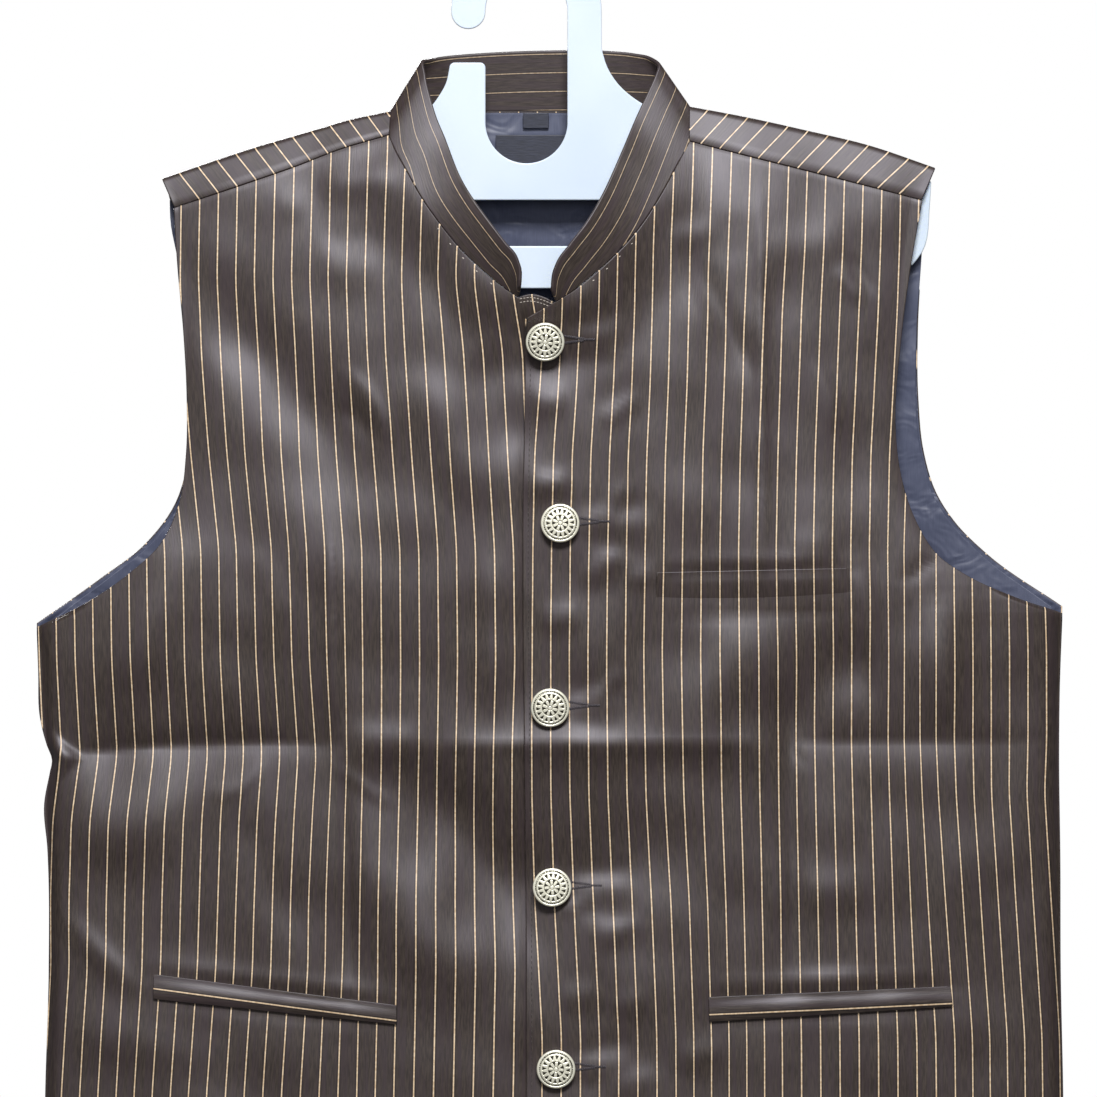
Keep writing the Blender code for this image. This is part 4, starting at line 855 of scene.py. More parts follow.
def shell(name, points, keep, wall, uv, materials, front_is, rings=3, inner_uv=None):
    """A closed wall of cloth on a grid's kept cells, with a rounded edge all round.

    All measures are in mm. front_is is the direction of the good side at the grid's middle."""
    width = points.shape[1]
    row, column = np.nonzero(keep)
    corner = row * width + column
    used, quads = np.unique(np.stack([corner, corner + width, corner + width + 1, corner + 1], axis=1),
                            return_inverse=True)
    quads, count = quads.reshape(-1, 4), len(used)
    grids = (points, grid_normals(points, keep), uv, uv if inner_uv is None else inner_uv)
    middle, normal, uv, inner_uv = [grid.reshape(-1, grid.shape[-1])[used] for grid in grids]
    # Directed edges used by one face only are the border; the cloth is on their left.
    edges = np.concatenate([quads[:, [n, (n + 1) % 4]] for n in range(4)])
    _, index, times = np.unique(np.sort(edges, axis=1) @ [count, 1], return_index=True, return_counts=True)
    start, end = edges[index[times == 1]].T
    way = unit(middle[end] - middle[start])
    out = np.zeros_like(middle)
    for at in (start, end):
        np.add.at(out, at, np.cross(way, normal[at]))
    out = unit(out)
    rim = np.unique([start, end])
    place = np.zeros(count, int)
    place[rim] = np.arange(len(rim))
    half = 0.5 * wall
    outside_first = np.sum(normal * front_is) > 0
    coords = [uv, inner_uv] if outside_first else [inner_uv, uv]
    verts, facing, rails = [middle + normal * half, middle - normal * half], [normal, -normal], [(start, end)]
    for ring, angle in enumerate(pi * (0.5 - shares(rings + 1)[1:-1])):
        at = 2 * count + len(rim) * ring
        rails.append((place[start] + at, place[end] + at))
        verts.append(middle[rim] + half * (normal[rim] * sin(angle) + out[rim] * EDGE_ROUND * cos(angle)))
        facing.append(normal[rim] * sin(angle) + out[rim] * cos(angle))
        coords.append(uv[rim])
    rails.append((start + count, end + count))
    faces = [quads, quads[:, ::-1] + count]
    faces += [np.stack([near_end, near_start, far_start, far_end], axis=1)
              for (near_start, near_end), (far_start, far_end) in zip(rails, rails[1:])]
    faces = np.concatenate(faces)
    mesh = bpy.data.meshes.new(name)
    mesh.from_pydata(np.concatenate(verts) * MM, [], faces.tolist())
    mesh.update()
    mesh.shade_smooth()
    flat = mesh.uv_layers.new(name="Cloth")
    flat.data.foreach_set("uv", np.concatenate(coords)[faces.ravel()].ravel() * MM)
    if len(materials) > 1:
        inside = np.arange(len(faces)) // len(quads) == int(outside_first)
        mesh.polygons.foreach_set("material_index", inside.astype(np.int32))
    mesh.normals_split_custom_set_from_vertices(np.concatenate(facing))
    return new_object(name, mesh, materials)


# ---------------------------------------------------------------- materials

SOFT = {"interpolation_type": "SMOOTHSTEP"}  # a range mapped to 0 at its first number and 1 at its second
COLOUR = {"data_type": "RGBA", "out": 2}  # a mix of colours, from input 6 to input 7


def linear(hex_colour):
    """Linear colour of an sRGB hex value."""
    value = [int(hex_colour[n:n + 2], 16) / 255 for n in (1, 3, 5)]
    return tuple(c / 12.92 if c <= 0.04045 else ((c + 0.055) / 1.055) ** 2.4 for c in value) + (1.0,)


def add_node(tree, kind, *values, out=0, **named):
    """Adds a node and returns one of its outputs, or all of them where out is None.

    The values fill its first inputs in order. A name in small letters is a setting, and any other one is an
    input: its name, or _ and its number. An input takes a value, or an output socket to link from."""
    node = tree.nodes.new(kind if "Node" in kind else "ShaderNode" + kind)
    inputs = dict(enumerate(values))
    for name, value in named.items():
        if name[0].islower():
            setattr(node, name, value)
        else:
            inputs[int(name[1:]) if name[0] == "_" else name.replace("_", " ")] = value
    for socket, value in inputs.items():
        if isinstance(value, bpy.types.NodeSocket):
            tree.links.new(value, node.inputs[socket])
        else:
            node.inputs[socket].default_value = value
    if out is None:
        return node.outputs
    return node.outputs[out] if len(node.outputs) else None


def new_material(name):
    """An empty material, and a function that adds a node to it."""
    made = bpy.data.materials.new(name)
    made.use_nodes = True
    made.node_tree.nodes.clear()
    return made, partial(add_node, made.node_tree)


def surfaced(made, add, **look):
    """The material, finished with its surface's inputs."""
    add("OutputMaterial", Surface=add("BsdfPrincipled", **look))
    return made


def cloth_noise(add, across_mm, down_mm, Roughness=0.55, **look):
    """Noise whose grains are the given millimetres across and down the cloth."""
    place = add("VectorMath", add("UVMap", uv_map="Cloth"), (1 / across_mm / MM, 1 / down_mm / MM, 0.0),
                operation="MULTIPLY")
    return add("TexNoise", Vector=place, Scale=1.0, Roughness=Roughness, **look)


def solid_noise(add, scale, detail):
    """Noise through the piece, at grains to a metre."""
    return add("TexNoise", Vector=add("TexCoord", out="Object"), Scale=scale, Detail=detail)


def worsted_suiting(strength=1.0):
    """Worsted wool-blend suiting with a pinstripe, woven and pressed: fine streaks along the warp, a twisted
    tan yarn every stripe, and a low gloss that turns brown towards lilac grey where it faces the light."""
    made, add = new_material("Worsted wool suiting, " + ("pinstriped" if strength == 1 else "faint pinstripe"))
    own = colours()
    pitch, width = mm("stripe_pitch"), mm("stripe_width") * (0.4 + 0.6 * strength)
    # Warp yarns are about 0.3 mm, too fine to show, so the streaks are drawn 0.8 mm wide and 9 mm long.
    streak = cloth_noise(add, 0.8, 9.0, Roughness=0.6)
    base = add("Mix", add("MapRange", streak, 0.34, 0.66, **SOFT), _6=own.suiting_dark, _7=own.suiting_light,
               **COLOUR)
    cast = add("MapRange", cloth_noise(add, 2.4, 70.0, Detail=1.0), 0.40, 0.62, **SOFT)
    base = add("Mix", add("Math", cast, 0.6, operation="MULTIPLY"), _6=base, _7=own.suiting_plum, **COLOUR)
    stripes = add("VectorMath", add("UVMap", uv_map="Cloth"), (1 / pitch / MM, 0.0, 0.0),
                  operation="MULTIPLY")
    nearest = add("Math", add("SeparateXYZ", stripes), 0.5, operation="PINGPONG")
    distance = add("Math", nearest, pitch, operation="MULTIPLY")
    shade = add("MapRange", distance, 1.9 * width, 1.1 * width, **SOFT)
    shade = add("Math", shade, 0.75, operation="MULTIPLY")
    base = add("Mix", shade, _6=base, _7=own.suiting_shadow, **COLOUR)
    twist = add("MapRange", cloth_noise(add, 6.0, 2.2), 0.34, 0.66, **SOFT)
    yarn = add("Mix", twist, _6=own.stripe_deep, _7=own.stripe, **COLOUR)
    line = add("MapRange", distance, 0.64 * width, 0.34 * width, **SOFT)
    line = add("Math", line, strength, operation="MULTIPLY")
    relief = add("Math", streak, 0.7, add("Math", line, 0.3, operation="MULTIPLY"), operation="MULTIPLY_ADD")
    return surfaced(made, add, Base_Color=add("Mix", line, _6=base, _7=yarn, **COLOUR), Roughness=0.5,
                    Specular_IOR_Level=0.7, Specular_Tint=linear("#F7F5FF"), Sheen_Weight=0.06,
                    Sheen_Roughness=0.35, Sheen_Tint=own.suiting_sheen,
                    Normal=add("Bump", Strength=0.3, Distance=0.00025, Height=relief))


def satin_lining():
    """Acetate satin, woven: navy black, with a smooth blue-grey sheen over soft wrinkles."""
    made, add = new_material("Acetate satin lining")
    float_yarn = add("Math", cloth_noise(add, 0.7, 9.0), 0.45, 0.16, operation="MULTIPLY_ADD")
    wrinkle = cloth_noise(add, 24.0, 19.0, Distortion=0.9)
    weave = add("Mix", float_yarn, _6=colours().lining_dark, _7=colours().lining, **COLOUR)
    return surfaced(made, add, Base_Color=weave, Roughness=0.46, Specular_IOR_Level=0.45, Sheen_Weight=0.25,
                    Sheen_Roughness=0.3, Sheen_Tint=colours().lining_sheen,
                    Normal=add("Bump", Strength=0.6, Distance=0.004, Height=wrinkle))


def sewing_thread(name, colour):
    """Spun polyester sewing thread, twisted: matt, with a slight sheen."""
    made, add = new_material(name)
    twist = solid_noise(add, 2500.0, 1.0)
    shade = add("Math", twist, 0.5, operation="MULTIPLY")
    return surfaced(made, add, Base_Color=add("Mix", shade, _6=colour, _7=colours().suiting_shadow, **COLOUR),
                    Roughness=0.6, Sheen_Weight=0.2,
                    Normal=add("Bump", Strength=0.3, Distance=0.0002, Height=twist))


def woven_label():
    """Woven damask label satin, left plain: near-black, with its weft showing as faint lines."""
    made, add = new_material("Woven label satin")
    weft = cloth_noise(add, 6.0, 0.5)
    weave = add("Mix", weft, _6=colours().label, _7=colours().lining_dark, **COLOUR)
    return surfaced(made, add, Base_Color=weave, Roughness=0.45,
                    Normal=add("Bump", Strength=0.3, Distance=0.0002, Height=weft))


def antique_gilt():
    """Brass, die-struck, gilt and toned: pale gold on the raised work and a dark patina in the recesses."""
    made, add = new_material("Antique gilt brass")
    tarnish = solid_noise(add, 900.0, 3.0)
    blotch = add("Math", add("Math", tarnish, 0.5, operation="SUBTRACT"), 0.35, operation="MULTIPLY")
    worn = add("Math", add("Attribute", attribute_name="raised", out="Fac"), blotch, operation="ADD")
    bright = add("MapRange", worn, 0.30, 0.62, **SOFT)
    gold = add("Mix", tarnish, _6=colours().gilt, _7=colours().gilt_pale, **COLOUR)
    gold = add("Mix", bright, _6=colours().patina, _7=gold, **COLOUR)
    return surfaced(made, add, Base_Color=gold, Metallic=0.5,
                    Roughness=add("Math", bright, -0.3, 0.64, operation="MULTIPLY_ADD"))


def moulded_plastic():
    """Polypropylene, injection moulded: a milky, slightly translucent pale blue with a soft gloss."""
    made, add = new_material("Polypropylene, milky pale blue")
    flow = add("MapRange", solid_noise(add, 9.0, 2.0), 0.38, 0.62, **SOFT)
    grain = solid_noise(add, 1400.0, 2.0)
    milky = add("Mix", flow, _6=colours().hanger, _7=colours().hanger_pale, **COLOUR)
    return surfaced(made, add, Base_Color=milky, Roughness=0.36, IOR=1.49, Subsurface_Weight=0.25,
                    Subsurface_Radius=(0.002, 0.002, 0.003), Subsurface_Scale=1.0,
                    Normal=add("Bump", Strength=0.12, Distance=0.0001, Height=grain))


def painted_floor():
    """Emulsion paint, rolled: plain, pale and matt."""
    made, add = new_material("Pale matt paint")
    mottle = add("Mix", solid_noise(add, 3.0, 2.0), _6=linear("#E9E9E8"), _7=linear("#F2F2F1"), **COLOUR)
    return surfaced(made, add, Base_Color=mottle, Roughness=0.9)


MADE = {}


def shared(kind, *args):
    """One copy of each material or group of nodes, made when a piece first needs it."""
    key = (kind.__name__,) + args[:1]
    if key not in MADE:
        MADE[key] = kind(*args)
    return MADE[key]


# ---------------------------------------------------------------- stitches

def stitch_tree():
    """Geometry nodes: one rounded stitch at every pitch along a curve, on the cloth's surface."""
    tree = bpy.data.node_groups.new("Stitches along a seam", "GeometryNodeTree")
    for name, kind, default in (("Geometry", "Geometry", None), ("Pitch", "Float", 0.003),
                                ("Stitch size", "Vector", (0.002, 0.0004, 0.0004)),
                                ("Unevenness", "Float", 0.1), ("Thread", "Material", None)):
        socket = tree.interface.new_socket(name, in_out="INPUT", socket_type="NodeSocket" + kind)
        if default is not None:
            socket.default_value = default
    tree.interface.new_socket("Geometry", in_out="OUTPUT", socket_type="NodeSocketGeometry")
    add = partial(add_node, tree)
    given = add("NodeGroupInput", out=None)
    points = add("GeometryNodeCurveToPoints", given["Geometry"], mode="LENGTH", Length=given["Pitch"],
                 out=None)
    low, high = [add("Math", 1.0, given["Unevenness"], operation=way) for way in ("SUBTRACT", "ADD")]
    vary = add("FunctionNodeRandomValue", data_type="FLOAT", _2=low, _3=high, Seed=4, out=1)
    placed = add("GeometryNodeInstanceOnPoints", points["Points"],
                 Instance=add("GeometryNodeMeshUVSphere", Segments=6, Rings=5, Radius=0.5),
                 Rotation=add("FunctionNodeAlignRotationToVector", axis="X", Vector=points["Tangent"]),
                 Scale=add("VectorMath", given["Stitch size"], operation="SCALE", Scale=vary))
    real = add("GeometryNodeRealizeInstances", placed)
    dyed = add("GeometryNodeSetMaterial", real, Material=given["Thread"])
    add("NodeGroupOutput", add("GeometryNodeSetShadeSmooth", dyed))
    return tree


def stitched(name, paths, pitch, size, thread, unevenness=0.1):
    """A piece of stitches along paths of points in mm. size is the stitch's length, height and width."""
    guide = guide_curve(name + "_guide", paths)
    sewing = guide.modifiers.new("Stitches", "NODES")
    sewing.node_group = shared(stitch_tree)
    values = {"Pitch": pitch, "Stitch size": size, "Unevenness": unevenness, "Thread": thread}
    for item in sewing.node_group.interface.items_tree:
        if item.in_out == "INPUT" and item.name in values:
            sewing[item.identifier] = values[item.name]
    mesh = plain_mesh(guide)
    if not len(mesh.polygons):
        raise RuntimeError("no stitches were made for " + name)
    mesh.name = name
    return finish_piece(new_object(name, mesh, []), None)


def on_front(hand, places, stand=0.0):
    """Points on a front's outer face at places across and down."""
    places = np.array(places, float)
    return to_points(places, -front_depth(hand, *places.T) - 0.5 * mm("suiting") - stand)


# ---------------------------------------------------------------- pieces

def make_fronts():
    materials = [shared(worsted_suiting), shared(satin_lining)]
    for hand in ("right", "left"):
        plan, points, keep = front_points(hand)
        obj = shell("front_" + hand + "_cloth", points, keep, mm("suiting"), stripe_uv(hand, plan), materials,
                    (0, -1, 0))
        finish_piece(obj, "front_" + hand)


def make_back():
    plan, points, keep = back_points()
    obj = shell("back_cloth", points, keep, mm("suiting"), back_uv(plan),
                [shared(worsted_suiting), shared(satin_lining)], (0, 1, 0))
    finish_piece(obj, "back")


def make_lining():
    plan, points, keep = lining_points()
    obj = shell("lining_satin", points, keep, mm("lining"), plan, [shared(satin_lining)], (0, -1, 0))
    finish_piece(obj, "lining_back")


def make_collar():
    points = collar_points()
    height = np.linalg.norm(points - points[-1:], axis=-1)
    length = np.broadcast_to(lengths(points[0]), height.shape)
    outer, inner = [np.stack([height - COLLAR_STRIPES[side] + 3 * mm("stripe_pitch"), length], axis=-1)
                    for side in ("outer", "inner")]
    keep = np.ones((points.shape[0] - 1, points.shape[1] - 1), bool)
    obj = shell("collar_band", points, keep, mm("band"), outer, [shared(worsted_suiting, 0.55)], (0, 0, 1),
                rings=5, inner_uv=inner)
    finish_piece(obj, "collar")


def make_welts():
    rows, columns = 10, 60
    across, down = shares(columns)[None], shares(rows)[:, None]
    for welt in WELTS:
        top = between(np.array(welt.top_start), np.array(welt.top_end), across[..., None])
        bottom = between(np.array(welt.bottom_start), np.array(welt.bottom_end), across[..., None])
        plan = between(top, bottom, down[..., None])
        under = front_depth(welt.hand, plan[..., 0], plan[..., 1])
        under = np.maximum(under, between(under[:1], under[-1:], down))
        gape = welt.gape * (1 - down) * np.sin(pi * across)
        tilt = welt.tilt * down - abs(welt.tilt) * 1.2 * down ** 8
        if welt.lines:
            # The lower welts are cut along the stripe, which runs down towards one end.
            height = np.linalg.norm(bottom - top, axis=-1) * down
            uv = np.stack([height - between(*welt.lines, across), plan[..., 0]], axis=-1)
        else:
            uv = stripe_uv(welt.hand, plan)
        obj = shell(welt.name + "_cloth", to_points(plan, -under - WELT_STAND - gape - tilt),
                    np.ones((rows, columns), bool), mm("welt"), uv, [shared(worsted_suiting)], (0, -1, 0))
        finish_piece(obj, welt.name)


def make_labels():
    rows, columns = 6, 12
    _, lining, _ = lining_points()
    at_centre, down = np.abs(lining[..., 0] - CENTRE) < LABEL_REACH[0], -lining[..., 2]
    for name, (first, last) in (("size_tag", SIZE_TAG), ("neck_label", NECK_LABEL)):
        plan = np.stack(np.meshgrid(between(first.across, last.across, shares(columns)),
                                    between(first.down, last.down, shares(rows))), axis=-1)
        near = at_centre & (down > first.down - LABEL_REACH[1]) & (down < last.down + LABEL_REACH[1])
        deep = lining[..., 1][near].min() - 0.5 * mm("lining") - GAP - 0.5 * mm("label")
        obj = shell(name + "_cloth", to_points(plan, np.full(plan.shape[:2], deep)),
                    np.ones((rows, columns), bool), mm("label"), plan, [shared(woven_label)], (0, -1, 0))
        finish_piece(obj, name)


def button_relief(radius, angle):
    """Height of the struck work over a button's dome, as a share of its full relief."""
    def ring(at, half, soft=0.022):
        return 1 - eased((np.abs(radius - at) - half) / soft)

    def petals(count, width):
        """1 on each petal and 0 between two, where width is a petal's share of its turn."""
        return held((width - np.abs(2 * ((angle * count / (2 * pi)) % 1.0) - 1)) / 0.18)

    rim = ring(0.948, 0.052)
    dashes = ring(0.848, 0.014) * (0.05 + 0.45 * (np.cos(54 * angle) > 0))
    plain = ring(0.762, 0.036)
    leaves = ring(0.62, 0.10) * petals(16, 0.88 - 2.6 * np.clip(radius - 0.54, 0.0, 0.2))
    inner = ring(0.465, 0.035)
    flower = ring(0.26, 0.12) * petals(8, 1.0 - 1.9 * np.clip(radius - 0.15, 0.0, 0.3))
    return np.max([rim, dashes, plain, leaves, inner, flower, ring(0.0, 0.09)], axis=0)


def button_mesh(name, shank):
    """A button with its back at 0 and its dome up: a fan, rounds of the dome and the back, and the shank."""
    radius, thick, shank_radius = 0.5 * mm("button"), mm("button_height"), 0.5 * SHANK_DIAMETER
    turns, rings = 216, 52
    angle, share = np.linspace(0.0, 2 * pi, turns, endpoint=False), shares(rings)[1:, None]
    relief = button_relief(*np.broadcast_arrays(share, angle))
    dome = thick * (1 - 0.34 * share ** 2.6) + 0.5 * (relief - 0.6) - 0.4 * eased((share - 0.965) / 0.035)
    back = [(radius, 0.42 * thick), (0.985 * radius, 0.18 * thick), (0.93 * radius, 0.0), (0.5 * radius, 0.0),
            (shank_radius, 0.0), (shank_radius, -shank)]
    reach = np.append(share * radius, [at for at, _ in back])[:, None]
    height = np.concatenate([dome, [np.full(turns, z) for _, z in back]])
    rounds = np.stack([reach * np.cos(angle), reach * np.sin(angle), height], axis=-1)
    verts = [(0.0, 0.0, dome[0].mean()), *rounds.reshape(-1, 3), (0.0, 0.0, -shank)]
    ring = np.arange(turns)
    ring = np.stack([ring, (ring + 1) % turns], axis=1) + 1  # each place of the first round, and the next one
    last = ring + (len(reach) - 1) * turns
    faces = [(0, at, following) for at, following in ring.tolist()]
    for n in range(len(reach) - 1):
        near = ring + n * turns
        faces += np.concatenate([near[:, :1], near + turns, near[:, 1:]], axis=1).tolist()
    faces += [(at, len(verts) - 1, following) for at, following in last.tolist()]
    mesh = bpy.data.meshes.new(name)
    mesh.from_pydata(np.array(verts) * MM, [], faces)
    raised = [1.0, *relief.ravel(), *np.full(len(back) * turns, 0.8), 0.5]
    mesh.attributes.new("raised", "FLOAT", "POINT").data.foreach_set("value", raised)
    return mesh


def make_buttons():
    radius, half_cloth = 0.5 * mm("button"), 0.5 * mm("suiting")
    rounds = np.linspace(0.0, 2 * pi, 12, endpoint=False)
    for number, row in enumerate(BUTTONS, start=1):
        name = "button_%d" % number
        rim = front_depth("left", row.across + radius * np.append(np.cos(rounds), 0.0),
                          row.down + radius * np.append(np.sin(rounds), 0.0))
        back = rim.max() + half_cloth + BUTTON_STAND + radius * abs(sin(radians(row.tip)))
        under = float(front_depth("right", row.across, row.down)) + half_cloth
        mesh = button_mesh(name, back - under - 2 * GAP)
        mesh.transform(Matrix.Translation(Vector((row.across, -back, -row.down)) * MM)
                       @ Matrix.Rotation(radians(90.0 + row.tip), 4, "X")
                       @ Matrix.Rotation(radians(row.turn), 4, "Z"))
        mesh.shade_smooth()
        finish_piece(new_object(name + "_gilt", mesh, [shared(antique_gilt)]), name)


def make_buttonholes():
    """Each worked buttonhole opens from behind its button: two rows of purl stitches that meet, and a bar."""
    thread = shared(sewing_thread, "Polyester buttonhole thread", colours().buttonhole)
    start, meet, end, raised, stand = 4.0, 21.4, 27.6, 1.2, 0.15
    share = shares(23)
    rows, bars = [], []
    for row in BUTTONS:
        down = row.down - raised
        for side in (-1.0, 1.0):
            lip = [row.across + between(start, meet, share), down + side * (2.6 * (1 - share) ** 1.2 + 0.5)]
            rows.append(on_front("left", np.stack(lip, axis=-1), stand))
        bar = [row.across + np.linspace(meet, end, 8), np.full(8, down)]
        bars.append(on_front("left", np.stack(bar, axis=-1), stand))
    stitched("buttonhole_purl", rows, 0.00055, (0.0005, 0.0007, 0.0017), thread)
    stitched("buttonhole_bars", bars, 0.0005, (0.0005, 0.0008, 0.0016), thread)


def make_stitching():
    """Edge stitching, the underlap's stitching and pick stitches at the neck seam."""
    dark = shared(sewing_thread, "Polyester thread, dark", colours().thread)
    pale = shared(sewing_thread, "Polyester thread, pale", colours().thread_pale)
    lap_top = along([(-3.0, 185.0), (2.0, 184.3), (8.0, 185.4), (13.6, 187.6)], shares(13))
    lap_runs = [on_front("right", lap_top + [0.0, drop]) for drop in (0.0, 2.0)]
    stitched("lap_stitching", lap_runs, 0.0019, (0.0016, 0.0004, 0.0005), pale)
    edge = along(FRONT_EDGE["left"], shares(159)) + [2.4, 0.0]
    corner = along([NECK["left"][-1], FRONT_EDGE["left"][0]], np.linspace(0.06, 0.95, 12)) + [0.9, 1.9]
    edge_runs = [on_front("left", run) for run in (edge[2:-1], corner)]
    stitched("edge_stitching", edge_runs, 0.0030, (0.0022, 0.0003, 0.0004), dark)
    picks = [on_front(hand, along(NECK[hand], np.linspace(low, high, 20)) + [outward, 1.3])
             for hand, low, high, outward in (("right", 0.50, 0.86, -1.3), ("left", 0.55, 0.80, 1.3))]
    stitched("pick_stitching", picks, 0.009, (0.0014, 0.0005, 0.0008), pale)


def arc(centre, radius, start, end, steps):
    """Points of a round stretch, from one angle in degrees to another; 90 points up."""
    angles = np.radians(np.linspace(start, end, steps + 1))
    return [(centre[0] + radius * cos(a), centre[1] - radius * sin(a)) for a in angles]


def hanger_outline():
    """The board's outline, from the hook's tip round the hanger: across and down."""
    bore, width, hook, base, lug = 23.0, 19.3, 23.0, 85.1, 51.5
    under_cloth = 0.5 * mm("suiting") + 2.2

    def smooth(points, count, start=0.0, end=1.0, lower=0.0):
        return (along(points, np.linspace(start, end, count)) + [0.0, lower]).tolist()

    return (arc((-bore - 0.5 * width, hook), 0.5 * width, 180.0, 360.0, 16)
            + arc((0.0, hook), bore, 180.0, 0.0, 48)[1:]
            + arc((0.0, base), bore, 0.0, -180.0, 48)
            + arc((-bore - 3.0, lug + 3.0), 3.0, 0.0, 90.0, 6)
            + arc((-40.3, lug + 3.0), 3.0, 90.0, 180.0, 6)
            + smooth([(-43.3, 54.5), (-45.2, 63.0), (-49.0, 70.0), (-54.4, 77.0), (-61.0, 82.0),
                      (-68.0, 85.4)], 16, 0.08)
            + smooth(SHOULDER_FOLD["right"][::-1], 24, 0.06, 0.965, under_cloth)
            + smooth([(-196.2, 128.0), (-193.6, 150.0), (-189.4, 161.0), (-180.0, 167.0)], 14)
            + smooth([(-140.0, 172.4), (-70.0, 176.6), (8.0, 178.4), (86.0, 176.2), (160.0, 171.4),
                      (207.0, 167.6)], 30)
            + smooth([(217.0, 165.2), (222.4, 158.0), (226.6, 132.0), (227.4, 119.0)], 12)
            + smooth(SHOULDER_FOLD["left"], 24, 0.04, 0.94, under_cloth)
            + smooth([(86.0, 83.6), (74.0, 79.0), (62.0, 72.6), (51.4, 63.4), (45.4, 54.0), (42.3, 44.0)], 18)
            + arc((0.0, hook), bore + width, 0.0, 180.0, 64)[:-1])


def make_hanger():
    """The board with eased edges: its outline and slot as one filled curve, set back by its bevel."""
    ease = 0.7 * MM
    middle, half, top, bottom = 8.0, 104.0, 128.8, 154.6
    radius = 0.5 * (bottom - top)
    slot = (arc((middle - half, top + radius), radius, 90.0, 270.0, 24)
            + arc((middle + half, top + radius), radius, -90.0, 90.0, 24))
    guide = guide_curve("hanger_guide", [[(across, -down, 0.0) for across, down in points]
                                         for points in (hanger_outline(), slot)], closed=True)
    curve = guide.data
    curve.dimensions = "2D"
    curve.fill_mode = "BOTH"
    curve.bevel_depth = ease
    curve.bevel_resolution = 3
    curve.extrude = 0.5 * sizes().board - ease
    curve.offset = -ease
    mesh = plain_mesh(guide)
    mesh.transform(Matrix.Rotation(radians(90.0), 4, "X"))
    mesh.materials.clear()
    mesh.shade_smooth()
    mesh.set_sharp_from_angle(angle=radians(35.0))
    finish_piece(new_object("hanger_board", mesh, [shared(moulded_plastic)]), "hanger")


def area_light(name, place, target_height, size, power):
    """A white rectangular light that faces a height over the object's middle."""
    data = bpy.data.lights.new(name, "AREA")
    data.shape = "RECTANGLE"
    data.size, data.size_y = size
    data.energy = power
    data.color = linear("#FFFFFF")[:3]
    obj = bpy.data.objects.new(name, data)
    obj.location = place
    facing = Vector((0.0, 0.0, target_height)) - Vector(place)
    obj.rotation_euler = facing.to_track_quat("-Z", "Y").to_euler()
    bpy.context.scene.collection.objects.link(obj)
    return obj


def make_stage():
    scene = bpy.context.scene
    reach, low = 4.0, -1.05
    mesh = bpy.data.meshes.new("floor")
    corners = [(-reach, -reach, low), (reach, -reach, low), (reach, reach, low), (-reach, reach, low)]
    mesh.from_pydata(corners, [], [(0, 1, 2, 3)])
    floor = new_object("floor", mesh, [shared(painted_floor)])
    floor.visible_diffuse = floor.visible_glossy = False  # it throws no light up at the cloth
    world = bpy.data.worlds.new("Studio")
    world.use_nodes = True
    world.node_tree.nodes.clear()
    add = partial(add_node, world.node_tree)
    # The camera sees plain white, while the room's light on the cloth is dimmer.
    strength = add("Math", add("LightPath", out="Is Camera Ray"), 1.0 - ROOM_LIGHT, ROOM_LIGHT,
                   operation="MULTIPLY_ADD")
    add("OutputWorld", Surface=add("Background", Color=linear("#FFFFFF"), Strength=strength))
    scene.world = world
    scene.view_settings.view_transform = "Standard"
    area_light("key", (0.15, -3.4, 2.6), -0.4, (1.7, 1.1), 300.0)
    area_light("left", (-2.4, -2.4, 0.1), -0.4, (1.4, 1.4), 6.0)
    # The front fill reaches into the neck and leaves no gloss on the cloth.
    area_light("front", (0.2, -4.6, 0.5), -0.2, (1.6, 1.6), 50.0).visible_glossy = False
    area_light("back", (-0.7, 3.8, 0.7), -0.4, (1.7, 1.3), 230.0).visible_camera = False
    lens = bpy.data.cameras.new("camera")
    lens.sensor_width = 36.0
    distance, width = 6.0, 0.6143
    lens.lens = lens.sensor_width * distance / width
    lens.clip_end = 50.0
    camera = bpy.data.objects.new("camera", lens)
    camera.location = (0.0124, -distance - 0.02, -0.3245)
    camera.rotation_euler = (radians(90.0), 0.0, 0.0)
    scene.collection.objects.link(camera)
    scene.camera = camera


# ---------------------------------------------------------------- the add-on

def length_property(name, description, millimetres):
    return FloatProperty(name=name, description=description, default=millimetres * MM, unit="LENGTH")


class JacketSizes(bpy.types.PropertyGroup):
    """Sizes of the jacket that a user would change"""
    suiting: length_property("Suiting", "Thickness of the outer cloth", 1.5)
    lining: length_property("Lining", "Thickness of the lining", 1.0)
    band: length_property("Collar band", "Thickness of the collar", 2.2)
    welt: length_property("Welt", "Thickness of a pocket welt", 1.2)
    label: length_property("Label", "Thickness of a label", 1.0)
    stripe_pitch: length_property("Stripe pitch", "Between two pinstripes", 10.5)
    stripe_width: length_property("Stripe width", "Width of a pinstripe", 0.72)
    button: length_property("Button", "Diameter of a button", 21.6)
    button_height: length_property("Button height", "Thickness of a button", 4.2)
    board: length_property("Hanger board", "Thickness of the hanger", 3.0)


def colour_property(name, description, hex_colour):
    return FloatVectorProperty(name=name, description=description, default=linear(hex_colour), size=4,
                               min=0.0, max=1.0, subtype="COLOR")


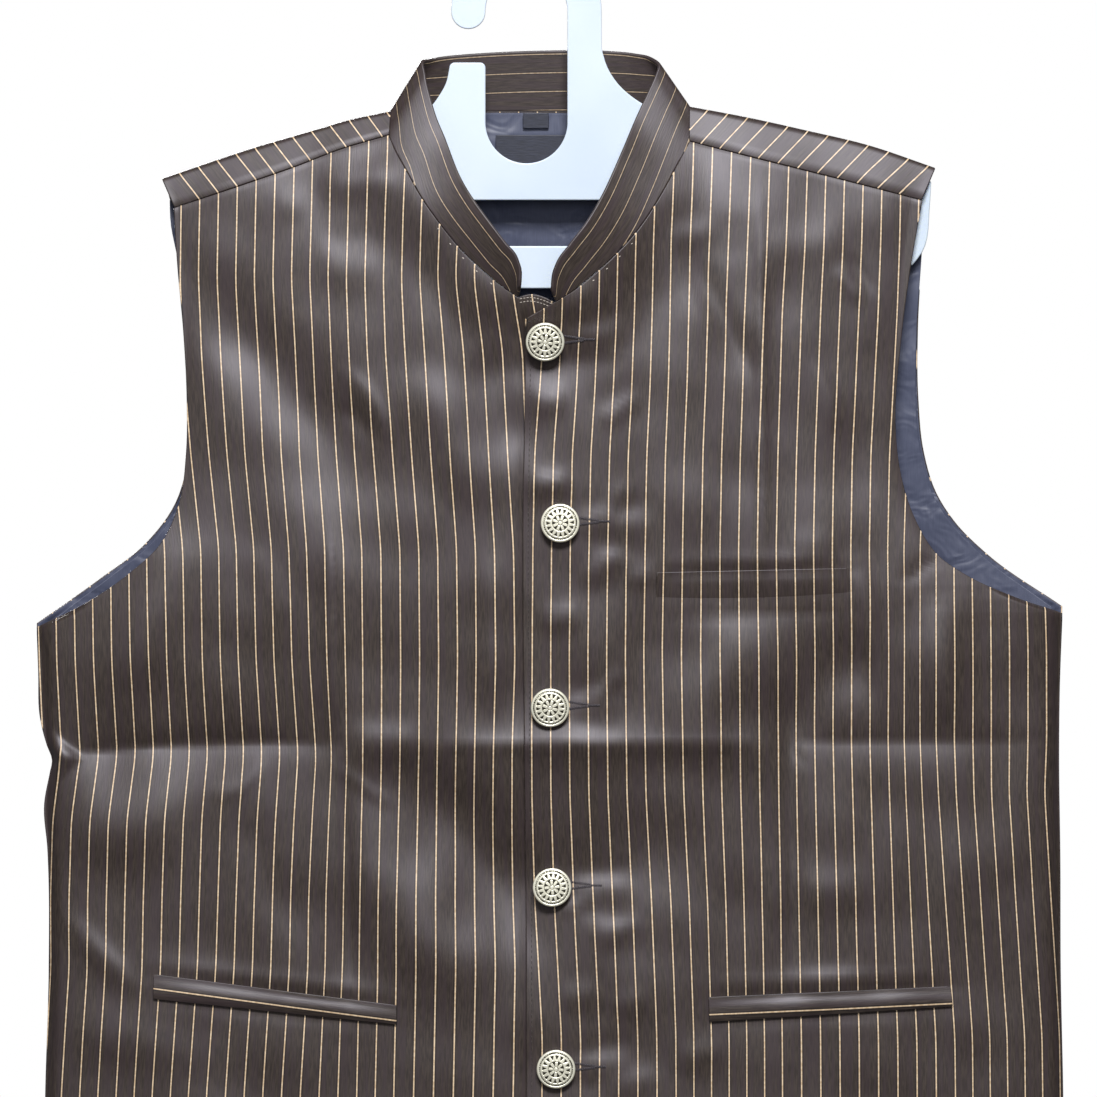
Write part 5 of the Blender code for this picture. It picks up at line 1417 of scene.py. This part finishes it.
class JacketColours(bpy.types.PropertyGroup):
    """Colours of the jacket that a user would change"""
    suiting_dark: colour_property("Suiting, dark yarn", "Darker warp yarn", "#261E18")
    suiting_light: colour_property("Suiting, light yarn", "Lighter warp yarn", "#393029")
    suiting_plum: colour_property("Suiting, plum cast", "Reddish streaks", "#312629")
    suiting_shadow: colour_property("Suiting, shadow", "Hairline beside a stripe", "#0F0B0A")
    suiting_sheen: colour_property("Suiting, sheen", "Tint of the sheen", "#CFC8D8")
    stripe: colour_property("Stripe", "Twisted stripe yarn", "#D3BC9E")
    stripe_deep: colour_property("Stripe, deep", "The stripe yarn's shaded side", "#B69C7C")
    lining: colour_property("Lining", "Lining satin", "#595E74")
    lining_dark: colour_property("Lining, dark", "Lining in its weave's shade", "#343849")
    lining_sheen: colour_property("Lining, sheen", "Tint of the lining's sheen", "#9AA6C8")
    label: colour_property("Label", "Woven label", "#0E0E11")
    thread: colour_property("Thread", "Edge stitching", "#2B2523")
    thread_pale: colour_property("Pale thread", "Pick stitches", "#B9AFA6")
    buttonhole: colour_property("Buttonhole thread", "Worked buttonholes", "#2E2530")
    gilt: colour_property("Gilt", "Raised work of the buttons", "#E2DFC8")
    gilt_pale: colour_property("Gilt, pale", "Worn raised work", "#F4F2E4")
    patina: colour_property("Patina", "Recesses of the buttons", "#2A271C")
    hanger: colour_property("Hanger", "Hanger plastic", "#BCC8D6")
    hanger_pale: colour_property("Hanger, pale", "Hanger plastic where it is thin", "#C6D1DE")


def operator_for(name, label, explanation, make):
    def execute(self, context):
        make()
        return {"FINISHED"}

    return type("JACKET_OT_" + name, (bpy.types.Operator,),
                {"bl_idname": "jacket." + name, "bl_label": label, "__doc__": explanation, "execute": execute,
                 "bl_options": {"REGISTER", "UNDO"}})


OPERATORS = [
    operator_for("stage", "Stage", "Floor, studio lights and camera", make_stage),
    operator_for("fronts", "Fronts", "The two fronts with their facing", make_fronts),
    operator_for("back", "Back", "The back with its shoulder strips", make_back),
    operator_for("lining", "Lining", "The back's lining", make_lining),
    operator_for("collar", "Collar", "The stand-up band collar", make_collar),
    operator_for("welts", "Pocket welts", "The chest and lower welts", make_welts),
    operator_for("labels", "Labels", "The two plain labels at the back of the neck", make_labels),
    operator_for("buttons", "Buttons", "The five struck metal buttons", make_buttons),
    operator_for("buttonholes", "Buttonholes", "The worked buttonholes", make_buttonholes),
    operator_for("stitching", "Stitching", "Edge and pick stitching", make_stitching),
    operator_for("hanger", "Hanger", "The flat plastic hanger", make_hanger),
]


class JACKET_PT_pieces(bpy.types.Panel):
    """Lists the jacket's pieces in the 3D view's sidebar"""
    bl_label = "Nehru jacket"
    bl_idname = "JACKET_PT_pieces"
    bl_space_type = "VIEW_3D"
    bl_region_type = "UI"
    bl_category = "Jacket"

    def draw(self, context):
        for operator in OPERATORS:
            self.layout.operator(operator.bl_idname)
        for group in (context.scene.jacket_sizes, context.scene.jacket_colours):
            box = self.layout.box()
            for name in group.bl_rna.properties.keys():
                if name not in ("rna_type", "name"):
                    box.prop(group, name)


CLASSES = [JacketSizes, JacketColours] + OPERATORS + [JACKET_PT_pieces]


def register():
    for made in CLASSES:
        bpy.utils.register_class(made)
    bpy.types.Scene.jacket_sizes = PointerProperty(type=JacketSizes)
    bpy.types.Scene.jacket_colours = PointerProperty(type=JacketColours)


def unregister():
    del bpy.types.Scene.jacket_colours
    del bpy.types.Scene.jacket_sizes
    for made in reversed(CLASSES):
        bpy.utils.unregister_class(made)


def main():
    register()
    for operator in OPERATORS:
        getattr(bpy.ops.jacket, operator.bl_idname.split(".")[1])()


if __name__ == "__main__":
    main()
